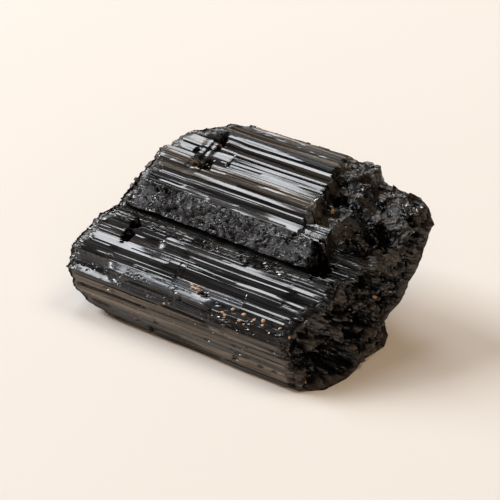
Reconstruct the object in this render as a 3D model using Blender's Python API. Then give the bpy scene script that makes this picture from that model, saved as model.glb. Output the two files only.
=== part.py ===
"""Black tourmaline: one chunk of parallel prisms grown into each other, broken off across both ends.

Sizes are in millimetres until the mesh is written. X runs along the prisms, Y from the front to the
back and Z up. While the shape is worked out, x is 0 at the front foot of the right-hand end, y is 0
at the front and z is 0 on the flat that the chunk rests on.
"""
import math
import random

import bmesh
import bpy
import numpy as np
from mathutils import Vector, noise
from mathutils.geometry import delaunay_2d_cdt

MM = 0.001
SEED = 41

# Size of the chunk
RIGHT_LIMIT = 5.8
BACK_RISE = 0.035
BACK_RISE_FROM = -36.0

# The clean cross break of the upper block, and the slanted end of the slab in front of it
BLOCK_BREAK_X = -15.2
BLOCK_BREAK_RUN = 0.9
SLAB_FOOT_X = -11.3
SLAB_TOP_X = -8.9
SLAB_END_RUN = 0.9

# Spacing of the surface points
PRISM_STATIONS = 26
BREAK_STATIONS = 3
SLAB_STATIONS = 4
SLAB_END_STATIONS = 4
LOW_STATIONS = 7
WIDEST_FACET = 1.5
END_SPACING = 1.75
ROD_END_RUN = 0.22
LEAST_STEP = 0.06
LEAST_STRETCH = 0.4
LOWEST_SIDE = 0.25

# Roughness: heights of the lumps on each part of the surface, and the sizes of a lump
PRISM_WAVE = 0.32
PRISM_WAVE_LENGTH = 11.0
PRISM_WAVE_WIDTH = 2.9
PRISM_LUMP = 0.04
FACE_LUMP = 0.05
SHOULDER_LUMP = 0.30
LEDGE_LUMP = 0.25
GROOVE_LUMP = 0.10
BAND_LUMP = 0.16
BACK_LUMP = 0.35
BACK_LUMP_PAST_BREAK = 0.40
FRACTURE_LUMP = 1.15
END_LUMP = 2.7
FRACTURE_CELL = 3.4
LUMP_CELL = 2.0
COARSE_SHARE = 0.65
LUMP_PUSH = 1.6
LUMP_TILT = 1.2
EDGE_JITTER = 0.35
POINT_JITTER = 0.25
RIM_CLEARANCE = 0.45
PIT_ROUNDNESS = 0.7
# Share of a lump's push that is left free to run along the surface
ALONG_SHARE = 0.35

# Shifts that keep the noises apart
CELL_MIX = 7.3
PUSH_SHIFT = Vector((31.7, 5.1, 2.0))
TILT_SHIFT = Vector((4.0, 17.3, 3.3))
FINE_SHIFT = Vector((40.0, 9.0, 3.0))
WAVE_SHIFT = Vector((3.1, 8.4, 1.7))
END_SHIFT = 50.0
END_FINE_SHIFT = 80.0

ALL = 1000.0

# Each facet is a list of stretches along x: (ends at x, width, tilt from level in degrees).
FACE = [
    [(ALL, 0.75, 88)],
    [(ALL, 1.25, 75)],
    [(ALL, 2.45, 80)],
    [(ALL, 1.65, 72)],
    [(-46.8, 1.60, 58), (ALL, 1.60, 66)],
]
SHOULDER = [
    [(-46.8, 1.45, 12), (-25.5, 0.75, 45), (ALL, 0.75, 58)],
    [(-46.8, 1.10, 38), (-25.5, 1.25, 58), (ALL, 1.45, 48)],
    [(-49.5, 1.30, 60), (-26.0, 2.00, 16), (ALL, 1.90, 38)],
]
FRONT_TOP = [
    [(-49.5, 0.80, 45), (-34.0, 0.80, 36), (ALL, 0.80, 22)],
    [(ALL, 0.57, 38)],
    [(-34.8, 0.40, 38), (ALL, 0.50, 8)],
    [(ALL, 1.50, 40)],
    [(-37.7, 0.60, 8), (-12.0, 0.50, 38), (ALL, 0.60, 8)],
    [(-33.9, 0.97, 8), (ALL, 0.76, 38)],
    [(ALL, 0.50, 8)],
    [(ALL, 0.38, 38)],
    [(ALL, 1.71, 38)],
    [(ALL, 0.38, 50)],
    [(-41.0, 1.20, 34), (ALL, 1.46, 8)],
    [(ALL, 0.57, 38)],
    [(ALL, 1.00, 32)],
    [(ALL, 1.10, 15)],
]
GROOVE = [
    [(ALL, 1.45, 14)],
    [(ALL, 1.25, 150)],
]
BAND = [
    [(ALL, 2.00, 62)],
    [(ALL, 2.00, 57)],
    [(ALL, 2.00, 55)],
]
BLOCK_TOP = [
    [(ALL, 1.94, 8)],
    [(ALL, 0.57, 38)],
    [(ALL, 0.85, 20)],
    [(ALL, 0.77, 60)],
    [(ALL, 0.97, 8)],
    [(ALL, 0.80, 68)],
    [(-42.0, 1.60, 8), (ALL, 2.15, -22)],
    [(ALL, 0.40, 60)],
    [(ALL, 1.60, -15)],
    [(-43.2, 0.80, 8), (-36.0, 0.90, 38), (ALL, 1.00, 8)],
    [(-43.2, 0.90, -22), (-36.0, 0.90, -8), (ALL, 0.95, 8)],
    [(-36.0, 1.80, 2), (ALL, 1.95, 8)],
    [(ALL, 0.38, 50)],
    [(ALL, 0.73, 8)],
    [(-40.8, 1.70, 4), (ALL, 2.10, -22)],
    [(ALL, 0.60, 68)],
    [(ALL, 0.97, 8)],
    [(ALL, 0.76, 38)],
    [(ALL, 1.46, 8)],
    [(ALL, 1.05, -22)],
    [(ALL, 0.75, 45)],
    [(ALL, 0.73, 8)],
    [(ALL, 1.05, -10)],
]
BACK = [
    [(ALL, 1.7, -62)],
    [(ALL, 3.8, -96)],
    [(ALL, 3.4, -104)],
    [(ALL, 3.6, -116)],
    [(ALL, 4.4, -122)],
    [(ALL, 4.6, -125)],
    [(ALL, 4.0, -128)],
    [(ALL, 3.2, -133)],
    [(ALL, 0.8, -160)],
]
BASE = [
    [(ALL, 12.8, 180)],
    [(ALL, 6.4, 180)],
    [(ALL, 5.0, 180)],
    [(ALL, 2.0, 180)],
    [(ALL, 1.45, 180)],
]

# Fixed corners (y, z) that the facets of each panel run between
FOOT = (0.15, 0.0)
FACE_END = (2.0, 7.8)
SHOULDER_END = (5.0, 10.7)
FRONT_TOP_END = (15.2, 16.1)
GROOVE_END = (15.5, 17.1)
BAND_END = (18.7, 22.2)
BLOCK_END = (40.8, 25.5)
BACK_FOOT = (27.8, 0.0)

PANELS = [
    ("face", FOOT, FACE_END, FACE),
    ("shoulder", FACE_END, SHOULDER_END, SHOULDER),
    ("front_top", SHOULDER_END, FRONT_TOP_END, FRONT_TOP),
    ("groove", FRONT_TOP_END, GROOVE_END, GROOVE),
    ("band", GROOVE_END, BAND_END, BAND),
    ("block_top", BAND_END, BLOCK_END, BLOCK_TOP),
    ("back", BLOCK_END, BACK_FOOT, BACK),
    ("base", BACK_FOOT, FOOT, BASE),
]

# The same panels further right, where the upper block is missing: (facet corner, y, z).
# "slab" is beside the slab, "low" is right of it, "end" is at the broken end.
SLAB_SECTION = {
    "block_top": [(0, 18.7, 22.0), (4, 22.4, 22.5), (6, 23.5, 20.4), (12, 31.0, 22.2), (18, 36.0, 24.6),
                  (23, 40.8, 26.3)],
    "back": [(0, 40.8, 26.3), (1, 41.3, 24.2), (3, 40.3, 17.6), (6, 32.6, 6.6), (9, 27.0, 0.0)],
    "base": [(0, 27.0, 0.0), (1, 15.0, 0.0), (2, 8.6, 0.0), (3, 3.6, 0.0), (4, 1.6, 0.0), (5, 0.15, 0.0)],
}
LOW_SECTION = {
    "groove": [(0, 15.2, 16.1), (1, 15.6, 16.2), (2, 16.0, 16.25)],
    "band": [(0, 16.0, 16.25), (3, 20.0, 16.7)],
    "block_top": [(0, 20.0, 16.7), (5, 24.4, 17.2), (12, 31.0, 19.8), (18, 35.6, 22.4), (23, 39.6, 24.0)],
    "back": [(0, 39.6, 24.0), (1, 40.2, 22.6), (3, 39.0, 17.6), (6, 31.0, 6.6), (9, 25.5, 0.0)],
    "base": [(0, 25.5, 0.0), (1, 15.0, 0.0), (2, 8.6, 0.0), (3, 3.6, 0.0), (4, 1.6, 0.0), (5, 0.15, 0.0)],
}
END_SECTION = {
    "groove": [(0, 15.2, 16.1), (1, 15.6, 16.2), (2, 16.0, 16.25)],
    "band": [(0, 16.0, 16.25), (3, 20.0, 16.7)],
    "block_top": [(0, 20.0, 16.7), (5, 24.4, 17.0), (12, 30.5, 19.2), (18, 34.8, 21.6), (23, 38.6, 23.6)],
    "back": [(0, 38.6, 23.6), (1, 38.9, 22.2), (2, 37.4, 19.8), (4, 33.0, 13.9), (6, 28.3, 6.6),
             (8, 23.2, 1.2), (9, 20.8, 0.0)],
    "base": [(0, 20.8, 0.0), (1, 15.0, 0.0), (2, 8.6, 0.0), (3, 3.6, 0.0), (4, 1.6, 0.0), (5, 0.15, 0.0)],
}
LOW_START_X = -8.5
LOW_END_X = 3.0

# Left-hand end of each panel: (facet corner, x)
LEFT_EDGE = {
    "face": [(0, -45.6), (1, -49.0), (2, -51.8), (3, -55.6), (4, -57.5), (5, -58.3)],
    "shoulder": [(0, -58.3), (3, -58.9)],
    "front_top": [(0, -58.9), (4, -58.7), (9, -58.2), (11, -57.4), (14, -55.0)],
    "groove": [(0, -55.0), (2, -54.4)],
    "band": [(0, -54.4), (3, -51.6)],
    "block_top": [(0, -51.6), (4, -50.6), (12, -50.2), (15, -49.4), (16, -46.0), (19, -43.8), (22, -41.0),
                  (23, -38.6)],
    "back": [(0, -38.6), (1, -39.4), (3, -43.0), (6, -46.5), (9, -46.0)],
    "base": [(0, -46.0), (5, -45.6)],
}

# Where the cross breaks fall on each panel: (facet corner, x of the block's break, x of the slab's end)
BREAK_EDGE = {
    "face": [(0, -24.0, -13.0), (5, -24.0, -14.0)],
    "shoulder": [(0, -24.0, -14.0), (3, -24.0, -14.0)],
    "front_top": [(0, -24.0, -14.0), (8, -22.0, -12.5), (14, -16.5, SLAB_FOOT_X)],
    "groove": [(0, -16.5, SLAB_FOOT_X), (2, -16.0, SLAB_FOOT_X)],
    "band": [(0, -16.0, SLAB_FOOT_X), (3, BLOCK_BREAK_X, SLAB_TOP_X)],
    "block_top": [(0, BLOCK_BREAK_X + 0.4, SLAB_TOP_X), (4, BLOCK_BREAK_X + 0.5, -9.4),
                  (6, BLOCK_BREAK_X + 1.4, -9.6), (12, BLOCK_BREAK_X, -9.0), (23, BLOCK_BREAK_X - 1.2, -8.5)],
    "back": [(0, BLOCK_BREAK_X - 1.2, -8.5), (1, BLOCK_BREAK_X - 1.2, -8.7), (4, -24.0, -13.0),
             (9, -24.0, -13.0)],
    "base": [(0, -24.0, -13.0), (5, -24.0, -13.0)],
}
SLOW_RUN = 5.0

# Share of the roughness across a panel: (facet corner, share)
BLOCK_ROUGH_SHARE = [(0, 0.2), (4, 0.2), (6, 0.75), (7, 1.0)]
LEDGE_ROUGH_SHARE = [(11, 0.0), (12, 1.0), (14, 1.0)]

# The broken right-hand end: x of the fracture at (y, z)
FRACTURE_RIGHT = [
    (-4.0, 0.15, 0.0), (-5.2, 0.3, 2.2), (-6.4, 0.9, 5.0), (-7.4, 2.0, 7.8), (-7.7, 3.5, 9.5),
    (-7.7, 5.0, 10.7), (-6.5, 8.5, 12.9), (-3.8, 11.7, 14.6), (-4.2, 13.5, 15.5), (-3.0, 15.5, 16.3),
    (-1.2, 18.5, 16.6), (-1.0, 21.5, 17.0), (0.4, 25.0, 17.4), (2.2, 30.5, 19.2), (2.8, 34.8, 21.6),
    (2.2, 38.6, 23.6), (5.6, 37.4, 19.8), (5.2, 33.0, 13.9), (3.8, 28.3, 6.8), (1.9, 24.6, 3.0),
    (4.0, 22.4, 1.0), (4.2, 20.5, 0.0), (2.4, 15.0, 0.0), (2.4, 8.6, 0.0), (0.4, 3.6, 0.0), (-2.0, 1.6, 0.0),
    (-4.8, 5.5, 5.5), (-3.6, 9.0, 7.5), (2.6, 12.5, 3.5), (1.0, 14.5, 9.0), (-2.2, 11.0, 12.0),
    (2.9, 20.5, 6.5), (1.2, 22.0, 12.0), (3.4, 27.5, 12.5), (3.8, 31.0, 16.0),
]
# The broken left-hand end
FRACTURE_LEFT = [
    (-45.8, 0.0, 0.0), (-53.0, 0.4, 2.4), (-58.1, 2.0, 7.8), (-58.8, 5.0, 10.7), (-57.4, 10.5, 14.0),
    (-54.2, 15.4, 16.6), (-52.4, 18.7, 22.2), (-50.6, 22.5, 23.6), (-50.2, 30.5, 24.3), (-46.0, 34.6, 24.5),
    (-37.0, 40.6, 25.2), (-43.0, 39.6, 17.0), (-46.5, 32.6, 6.6), (-46.0, 27.8, 0.0), (-50.5, 12.0, 0.0),
    (-57.6, 9.0, 7.0), (-55.5, 17.0, 10.0), (-52.5, 25.0, 13.0), (-52.0, 22.0, 4.0), (-48.5, 33.0, 17.0),
]

# Pits: (x, y, half length, half width, depth)
PITS = [
    (-48.6, 11.2, 2.3, 2.3, 1.7),
    (-39.8, 25.8, 1.5, 2.2, 1.1),
    (-40.5, 33.4, 0.9, 2.4, 1.2),
    (-44.0, 29.3, 0.8, 0.9, 0.8),
    (-6.4, 18.0, 2.0, 2.2, 2.2),
    (-20.5, 13.9, 4.0, 1.0, 0.5),
    (-33.0, 14.1, 3.0, 0.9, 0.5),
    (-27.5, 5.6, 1.4, 0.8, 0.5),
    (-49.5, 4.4, 1.8, 1.0, 0.6),
]


def clear_objects():
    """Remove whatever is in the scene."""
    for old in list(bpy.data.objects):
        bpy.data.objects.remove(old, do_unlink=True)


def random_number(*key):
    """A steady random number from 0 to 1 for a key."""
    return random.Random(f"{SEED}:{key}").random()


def table_value(table, at, column=1):
    """Read one column of a table by straight lines between its rows."""
    return float(np.interp(at, [row[0] for row in table], [row[column] for row in table]))


def facet_at(stretches, xs):
    """Width and tilt of a facet at each x."""
    width = np.full(xs.shape, float(stretches[-1][1]))
    tilt = np.full(xs.shape, float(stretches[-1][2]))
    for end, stretch_width, stretch_tilt in reversed(stretches[:-1]):
        width = np.where(xs < end, stretch_width, width)
        tilt = np.where(xs < end, stretch_tilt, tilt)
    return width, np.radians(tilt)


def panel_end_points(panel, xs):
    """First and last corner of a panel at each x. The back edge rises towards the right."""
    first = np.zeros((len(xs), 2)) + panel[1]
    last = np.zeros((len(xs), 2)) + panel[2]
    rise = BACK_RISE * np.maximum(0.0, xs - BACK_RISE_FROM)
    if panel[0] == "block_top":
        last[:, 1] += rise
    if panel[0] == "back":
        first[:, 1] += rise
    return first, last


def full_point(panel, facet, part, xs):
    """Point on a panel of the whole section, part of the way over one facet, at each x."""
    facets = panel[3]
    walk = np.zeros((len(xs), 2))
    here = walk
    so_far = np.zeros(len(xs))
    here_so_far = so_far
    for number, stretches in enumerate(facets):
        width, tilt = facet_at(stretches, xs)
        step = np.stack([width * np.cos(tilt), width * np.sin(tilt)], axis=1)
        if number == facet:
            here = walk + part * step
            here_so_far = so_far + part * width
        walk = walk + step
        so_far = so_far + width
    first, last = panel_end_points(panel, xs)
    miss = last - first - walk
    return first + here + miss * (here_so_far / so_far)[:, None]


def other_point(section, panel, facet, part, xs):
    """Point on a panel of one of the sections on the right, or of the whole section if it's the same."""
    rows = section.get(panel[0])
    if rows is None:
        return full_point(panel, facet, part, xs)
    at = facet + part
    point = (table_value(rows, at, 1), table_value(rows, at, 2))
    return np.zeros((len(xs), 2)) + point


def ramp(xs, start, run):
    """0 before start, 1 after start + run."""
    return np.clip((xs - start) / run, 0.0, 1.0)


def smooth_ramp(xs, start, run):
    """A ramp with soft ends."""
    part = ramp(xs, start, run)
    return part * part * (3.0 - 2.0 * part)


def break_runs(panel_name, at):
    """How far along x the two cross breaks take on a panel."""
    if panel_name in ("band", "groove"):
        return 3.0, SLAB_END_RUN
    if panel_name == "block_top":
        return BLOCK_BREAK_RUN, table_value([(0, SLAB_END_RUN), (6, 1.4), (9, 3.6), (17, 3.6), (21, 1.2)], at)
    if panel_name == "back":
        return table_value([(0, 1.2), (4, SLOW_RUN)], at), table_value([(0, 1.2), (4, SLOW_RUN)], at)
    return SLOW_RUN, SLOW_RUN


def section_points(panel, facet, part, xs):
    """Points of one lengthwise column, before it's roughened."""
    at = facet + part
    block_x = table_value(BREAK_EDGE[panel[0]], at, 1)
    slab_x = table_value(BREAK_EDGE[panel[0]], at, 2)
    block_run, slab_run = break_runs(panel[0], at)
    past_block = ramp(xs, block_x, block_run)[:, None]
    past_slab = ramp(xs, slab_x, slab_run)[:, None]
    to_end = smooth_ramp(xs, LOW_START_X, LOW_END_X - LOW_START_X)[:, None]
    points = full_point(panel, facet, part, xs)
    slab = other_point(SLAB_SECTION, panel, facet, part, xs)
    low = other_point(LOW_SECTION, panel, facet, part, xs)
    end = other_point(END_SECTION, panel, facet, part, xs)
    points = points + (slab - points) * past_block
    points = points + (low - points) * past_slab
    return points + (end - points) * to_end


class Fracture:
    """A smooth surface x(y, z) through the control points of a broken end."""

    def __init__(self, rows):
        self.centres = np.array([row[1:] for row in rows], dtype=float)
        heights = np.array([row[0] for row in rows], dtype=float)
        self.mean = heights.mean()
        gaps = np.linalg.norm(self.centres[:, None, :] - self.centres[None, :, :], axis=2)
        self.weights = np.linalg.solve(gaps, heights - self.mean)

    def x_at(self, y, z):
        """Distance along the chunk at which the break lies."""
        gaps = np.linalg.norm(self.centres - (y, z), axis=1)
        return float(self.mean + gaps @ self.weights)


def column_list():
    """Every lengthwise column of points: (panel, facet, part of the way over it)."""
    columns = []
    for panel in PANELS:
        for number, stretches in enumerate(panel[3]):
            widest = max(row[1] for row in stretches)
            cuts = 1 if panel[0] == "base" else max(1, math.ceil(widest / WIDEST_FACET))
            columns += [(panel, number, cut / cuts) for cut in range(cuts)]
    return columns


def rod_ends(column):
    """The x at which a facet beside this column changes."""
    panel, number, part = column
    found = {row[0] for row in panel[3][number][:-1]}
    if part == 0.0 and number > 0:
        found |= {row[0] for row in panel[3][number - 1][:-1]}
    return sorted(found)


def knot_positions(column, index, right):
    """The x at which the stations of a column are pinned: ends and cross breaks."""
    panel, number, part = column
    at = number + part
    left = table_value(LEFT_EDGE[panel[0]], at)
    if panel[0] != "base":
        left += EDGE_JITTER * (2.0 * random_number("left", index) - 1.0)
    block_x = table_value(BREAK_EDGE[panel[0]], at, 1)
    slab_x = table_value(BREAK_EDGE[panel[0]], at, 2)
    block_run, slab_run = break_runs(panel[0], at)
    return [left, block_x, block_x + block_run, slab_x, slab_x + slab_run, right]


def station_positions(column, index, right):
    """The x of every station of a column."""
    knots = knot_positions(column, index, right)
    counts = [PRISM_STATIONS, BREAK_STATIONS, SLAB_STATIONS, SLAB_END_STATIONS, LOW_STATIONS]
    for k in range(3, len(knots)):
        knots[k] = max(knots[k], knots[k - 1] + LEAST_STRETCH)
    xs = [knots[0]]
    for start, stop, count in zip(knots, knots[1:], counts):
        xs += [start + (stop - start) * (step + 1) / count for step in range(count)]
    xs = np.array(xs)
    for end in rod_ends(column):
        middles = (xs[1:-2] + xs[2:-1]) / 2
        near = int(np.argmin(np.abs(middles - end))) + 1
        xs[near] = end - ROD_END_RUN / 2
        xs[near + 1] = end + ROD_END_RUN / 2
    for k in range(1, len(xs)):
        xs[k] = max(xs[k], xs[k - 1] + LEAST_STEP)
    return xs


def rough_weight(panel_name, at, x):
    """Height of the lumps at a place on the surface."""
    past_break = smooth_ramp(np.array([x]), BLOCK_BREAK_X - 0.5, 1.2)[0]
    past_slab = smooth_ramp(np.array([x]), SLAB_TOP_X - 0.5, 2.0)[0]
    if panel_name == "shoulder":
        return SHOULDER_LUMP
    if panel_name == "band":
        return BAND_LUMP
    if panel_name == "block_top":
        return PRISM_LUMP + FRACTURE_LUMP * past_break * table_value(BLOCK_ROUGH_SHARE, at)
    if panel_name == "back":
        return BACK_LUMP + BACK_LUMP_PAST_BREAK * past_break
    if panel_name == "groove":
        return GROOVE_LUMP * (1.0 - past_slab)
    if panel_name == "front_top":
        return PRISM_LUMP + LEDGE_LUMP * table_value(LEDGE_ROUGH_SHARE, at)
    return FACE_LUMP


def faceted_lumps(point, cell):
    """A broken surface of tilted flats: a vector from -1 to 1 in each direction."""
    spot = Vector(point) / cell
    centre = noise.voronoi(spot)[1][0]
    away = spot - centre
    push = noise.noise_vector(centre * CELL_MIX + PUSH_SHIFT)
    tilt = noise.noise_vector(centre * CELL_MIX + TILT_SHIFT)
    return push * LUMP_PUSH + tilt * away.dot(tilt.normalized()) * LUMP_TILT


def lump_vector(point):
    """Large flats with smaller ones on them."""
    coarse = faceted_lumps(point, FRACTURE_CELL)
    fine = faceted_lumps(Vector(point) + FINE_SHIFT, LUMP_CELL)
    return coarse * COARSE_SHARE + fine * (1.0 - COARSE_SHARE)


def prism_wave(x, y, z):
    """Slow swelling of the prisms along their length."""
    spot = Vector((x / PRISM_WAVE_LENGTH, y / PRISM_WAVE_WIDTH, z / PRISM_WAVE_WIDTH))
    return PRISM_WAVE * noise.noise(spot + WAVE_SHIFT)


def pit_depth(x, y):
    """How deep the pits go at a place seen from above."""
    depth = 0.0
    for pit_x, pit_y, half_length, half_width, deepest in PITS:
        reach = math.hypot((x - pit_x) / half_length, (y - pit_y) / half_width)
        if reach < 1.0:
            depth = max(depth, deepest * (1.0 - reach * reach) ** PIT_ROUNDNESS)
    return depth


def outward(points):
    """Unit outward direction (y, z) at each column, for one station."""
    along = np.roll(points, -1, axis=0) - np.roll(points, 1, axis=0)
    length = np.linalg.norm(along, axis=1)[:, None] + 1e-9
    return np.stack([-along[:, 1], along[:, 0]], axis=1) / length


def surface_grid(columns, right_end):
    """All points of the sides: stations by columns by (x, y, z)."""
    grid = []
    for index, column in enumerate(columns):
        panel, number, part = column
        probe = section_points(panel, number, part, np.array([LOW_END_X]))[0]
        right = right_end.x_at(probe[0], probe[1])
        if panel[0] == "base":
            right = right_end.x_at(probe[0], 0.0)
        xs = station_positions(column, index, right)
        points = section_points(panel, number, part, xs)
        grid.append(np.column_stack([xs, points]))
    return np.array(grid).transpose(1, 0, 2)


def roughen(grid, columns):
    """Add waves, pits and lumps to the sides. The flat base stays as it is."""
    rough = grid.copy()
    for station in range(grid.shape[0]):
        sides = outward(grid[station, :, 1:])
        for index, (panel, number, part) in enumerate(columns):
            x, y, z = grid[station, index]
            on_base = panel[0] == "base" or (panel[0] == "face" and number == 0 and part == 0.0)
            if on_base:
                continue
            weight = rough_weight(panel[0], number + part, x)
            lump = lump_vector((x, y, z)) * weight
            swell = prism_wave(x, y, z)
            if panel[0] not in ("back", "face"):
                swell -= pit_depth(x, y)
            side_y, side_z = sides[index]
            swell += (1.0 - ALONG_SHARE) * (lump.y * side_y + lump.z * side_z)
            move = lump * ALONG_SHARE + Vector((0.0, side_y * swell, side_z * swell))
            rough[station, index] += move
            rough[station, index, 2] = max(rough[station, index, 2], LOWEST_SIDE)
    return rough


def inside(outline, y, z):
    """Is a point inside a closed outline?"""
    ys, zs = outline[:, 0], outline[:, 1]
    next_y, next_z = np.roll(ys, -1), np.roll(zs, -1)
    crosses = (zs > z) != (next_z > z)
    with np.errstate(divide="ignore", invalid="ignore"):
        at = ys + (z - zs) * (next_y - ys) / (next_z - zs)
    return bool(np.sum(crosses & (y < at)) % 2)


def clear_of(outline, y, z, gap):
    """Is a point further than a gap from the outline?"""
    start = outline
    span = np.roll(outline, -1, axis=0) - outline
    square = np.sum(span * span, axis=1) + 1e-12
    part = np.clip(np.sum((np.array((y, z)) - start) * span, axis=1) / square, 0.0, 1.0)
    nearest = start + span * part[:, None]
    return float(np.min(np.hypot(nearest[:, 0] - y, nearest[:, 1] - z))) > gap


def jitter(*key):
    """A small steady shift for a point of the ends' grid."""
    return POINT_JITTER * (2.0 * random_number(*key) - 1.0)


def end_inner_points(outline, fracture, side, spacing):
    """Points of a broken end inside its rim, each pushed along x by the fracture's lumps."""
    low, high = outline.min(axis=0), outline.max(axis=0)
    rows = int((high[1] - low[1]) / spacing) + 1
    across = int((high[0] - low[0]) / spacing) + 1
    points = []
    for row in range(rows):
        for step in range(across):
            shift = 0.5 * (row % 2)
            y = low[0] + (step + shift + jitter(side, row, step, "y")) * spacing
            z = low[1] + (row + 0.5 + jitter(side, row, step, "z")) * spacing
            if not inside(outline, y, z) or not clear_of(outline, y, z, RIM_CLEARANCE * spacing):
                continue
            lump = faceted_lumps((side * END_SHIFT, y, z), FRACTURE_CELL)
            small = faceted_lumps((side * END_FINE_SHIFT, y, z), LUMP_CELL)
            x = fracture.x_at(y, z) + END_LUMP * (COARSE_SHARE * lump.x + (1.0 - COARSE_SHARE) * small.x)
            if side > 0:
                x = min(x, RIGHT_LIMIT)
            points.append((x, y, z))
    return points


def end_triangles(rim, inner):
    """Join a rim and the points inside it into triangles, numbered rim first."""
    flat = [Vector((p[1], p[2])) for p in list(rim) + inner]
    count = len(rim)
    edges = [(k, (k + 1) % count) for k in range(count)]
    result = delaunay_2d_cdt(flat, edges, [], 1, 1e-7)
    if len(result[0]) != len(flat):
        raise RuntimeError(f"the rim crosses itself: {len(result[0])} points from {len(flat)}")
    first = [orig[0] for orig in result[3]]
    return [tuple(first[k] for k in face) for face in result[2]]


def build_mesh(grid, ends):
    """One closed mesh from the sides and the two broken ends."""
    stations, around = grid.shape[:2]
    mesh = bmesh.new()
    verts = [[mesh.verts.new(point * MM) for point in row] for row in grid]
    for a, b in zip(verts, verts[1:]):
        for k in range(around):
            nxt = (k + 1) % around
            mesh.faces.new((a[k], a[nxt], b[nxt]))
            mesh.faces.new((a[k], b[nxt], b[k]))
    for rim, (inner, triangles) in zip((verts[0], verts[-1]), ends):
        corners = rim + [mesh.verts.new(Vector(point) * MM) for point in inner]
        for triangle in triangles:
            mesh.faces.new([corners[k] for k in triangle])
    bmesh.ops.recalc_face_normals(mesh, faces=mesh.faces)
    return mesh


def stand_on_origin(mesh):
    """Put the middle of the underside of the chunk's box at the origin."""
    low = [min(v.co[k] for v in mesh.verts) for k in range(3)]
    high = [max(v.co[k] for v in mesh.verts) for k in range(3)]
    shift = Vector((-(low[0] + high[0]) / 2, -(low[1] + high[1]) / 2, -low[2]))
    bmesh.ops.translate(mesh, verts=mesh.verts, vec=shift)


def black_mineral():
    """Glossy black tourmaline."""
    material = bpy.data.materials.new("black_tourmaline")
    material.use_nodes = True
    shader = material.node_tree.nodes["Principled BSDF"]
    shader.inputs["Base Color"].default_value = (0.012, 0.012, 0.013, 1.0)
    shader.inputs["Roughness"].default_value = 0.28
    shader.inputs["Metallic"].default_value = 0.0
    return material


def build_crystal():
    """The whole grown chunk as one closed solid."""
    noise.seed_set(SEED)
    columns = column_list()
    right_end = Fracture(FRACTURE_RIGHT)
    left_end = Fracture(FRACTURE_LEFT)
    grid = roughen(surface_grid(columns, right_end), columns)
    ends = []
    for rim, fracture, side in ((grid[0], left_end, -1), (grid[-1], right_end, 1)):
        inner = end_inner_points(rim[:, 1:], fracture, side, END_SPACING)
        ends.append((inner, end_triangles(rim, inner)))
    mesh = build_mesh(grid, ends)
    stand_on_origin(mesh)
    data = bpy.data.meshes.new("tourmaline_crystal")
    mesh.to_mesh(data)
    mesh.free()
    data.materials.append(black_mineral())
    crystal = bpy.data.objects.new("tourmaline_crystal", data)
    bpy.context.scene.collection.objects.link(crystal)


clear_objects()
build_crystal()
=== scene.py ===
"""Black tourmaline: the finished look of the grown chunk, its mineral grains, the floor and the light.

Sizes are in millimetres while a shape is worked out. X runs along the prisms, Y from the front to the
back and Z up. x is 0 close to the front foot of the right-hand end, y is 0 at the front and z is 0 on the
floor. The outside of the chunk is a ring of panels. Each panel is a row of facets, each facet is split into
striations, and each striation's corner becomes a column of points that runs from the left-hand end to the
right-hand one. A corner's place in its panel is a number: 2.5 is half way across the third facet.
"""

import math
import random
from collections import namedtuple

import bmesh
import bpy
import numpy as np
from bpy.props import FloatProperty, FloatVectorProperty, PointerProperty
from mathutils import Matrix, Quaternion, Vector, noise
from mathutils.bvhtree import BVHTree
from mathutils.geometry import delaunay_2d_cdt


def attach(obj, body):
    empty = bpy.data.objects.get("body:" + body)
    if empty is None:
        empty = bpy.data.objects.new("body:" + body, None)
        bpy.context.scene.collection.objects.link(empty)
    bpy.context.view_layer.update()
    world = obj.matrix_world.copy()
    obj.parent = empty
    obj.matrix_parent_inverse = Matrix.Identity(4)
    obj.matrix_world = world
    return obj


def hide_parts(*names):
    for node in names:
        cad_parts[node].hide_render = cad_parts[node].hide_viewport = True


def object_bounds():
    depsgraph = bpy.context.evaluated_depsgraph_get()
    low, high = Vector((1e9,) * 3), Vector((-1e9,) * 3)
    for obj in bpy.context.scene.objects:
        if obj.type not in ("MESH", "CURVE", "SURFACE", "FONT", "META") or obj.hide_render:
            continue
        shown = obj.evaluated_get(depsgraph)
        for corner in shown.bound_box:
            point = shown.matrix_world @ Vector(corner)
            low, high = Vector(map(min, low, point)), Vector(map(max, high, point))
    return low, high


bl_info = {
    "name": "Black Tourmaline",
    "version": (1, 0, 0),
    "blender": (4, 5, 0),
    "location": "View3D > Sidebar > Tourmaline",
    "description": "Builds a chunk of black tourmaline with its grains, floor and light",
    "category": "Object",
}

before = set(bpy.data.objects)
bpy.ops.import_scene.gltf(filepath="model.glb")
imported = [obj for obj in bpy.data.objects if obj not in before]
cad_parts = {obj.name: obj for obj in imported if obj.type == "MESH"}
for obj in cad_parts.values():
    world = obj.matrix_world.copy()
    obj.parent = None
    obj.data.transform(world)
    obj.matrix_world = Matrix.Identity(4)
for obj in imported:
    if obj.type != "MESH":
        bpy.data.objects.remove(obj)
CAD_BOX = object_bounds()
CAD_NODE = "tourmaline_crystal"

MM = 0.001
SEED = 41

# Where the middle of the chunk's box falls in the working coordinates
MIDDLE_X = -26.9
MIDDLE_Y = 20.7

# How far right the chunk reaches, how its back edge rises to the right, and how its left foot tucks in
RIGHT_LIMIT = 5.8
BACK_RISE = 0.025
BACK_RISE_FROM = -36.0
FOOT_TUCK = 1.1
FOOT_TUCK_UNTIL = -37.0
FOOT_TUCK_RUN = 2.0

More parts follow.
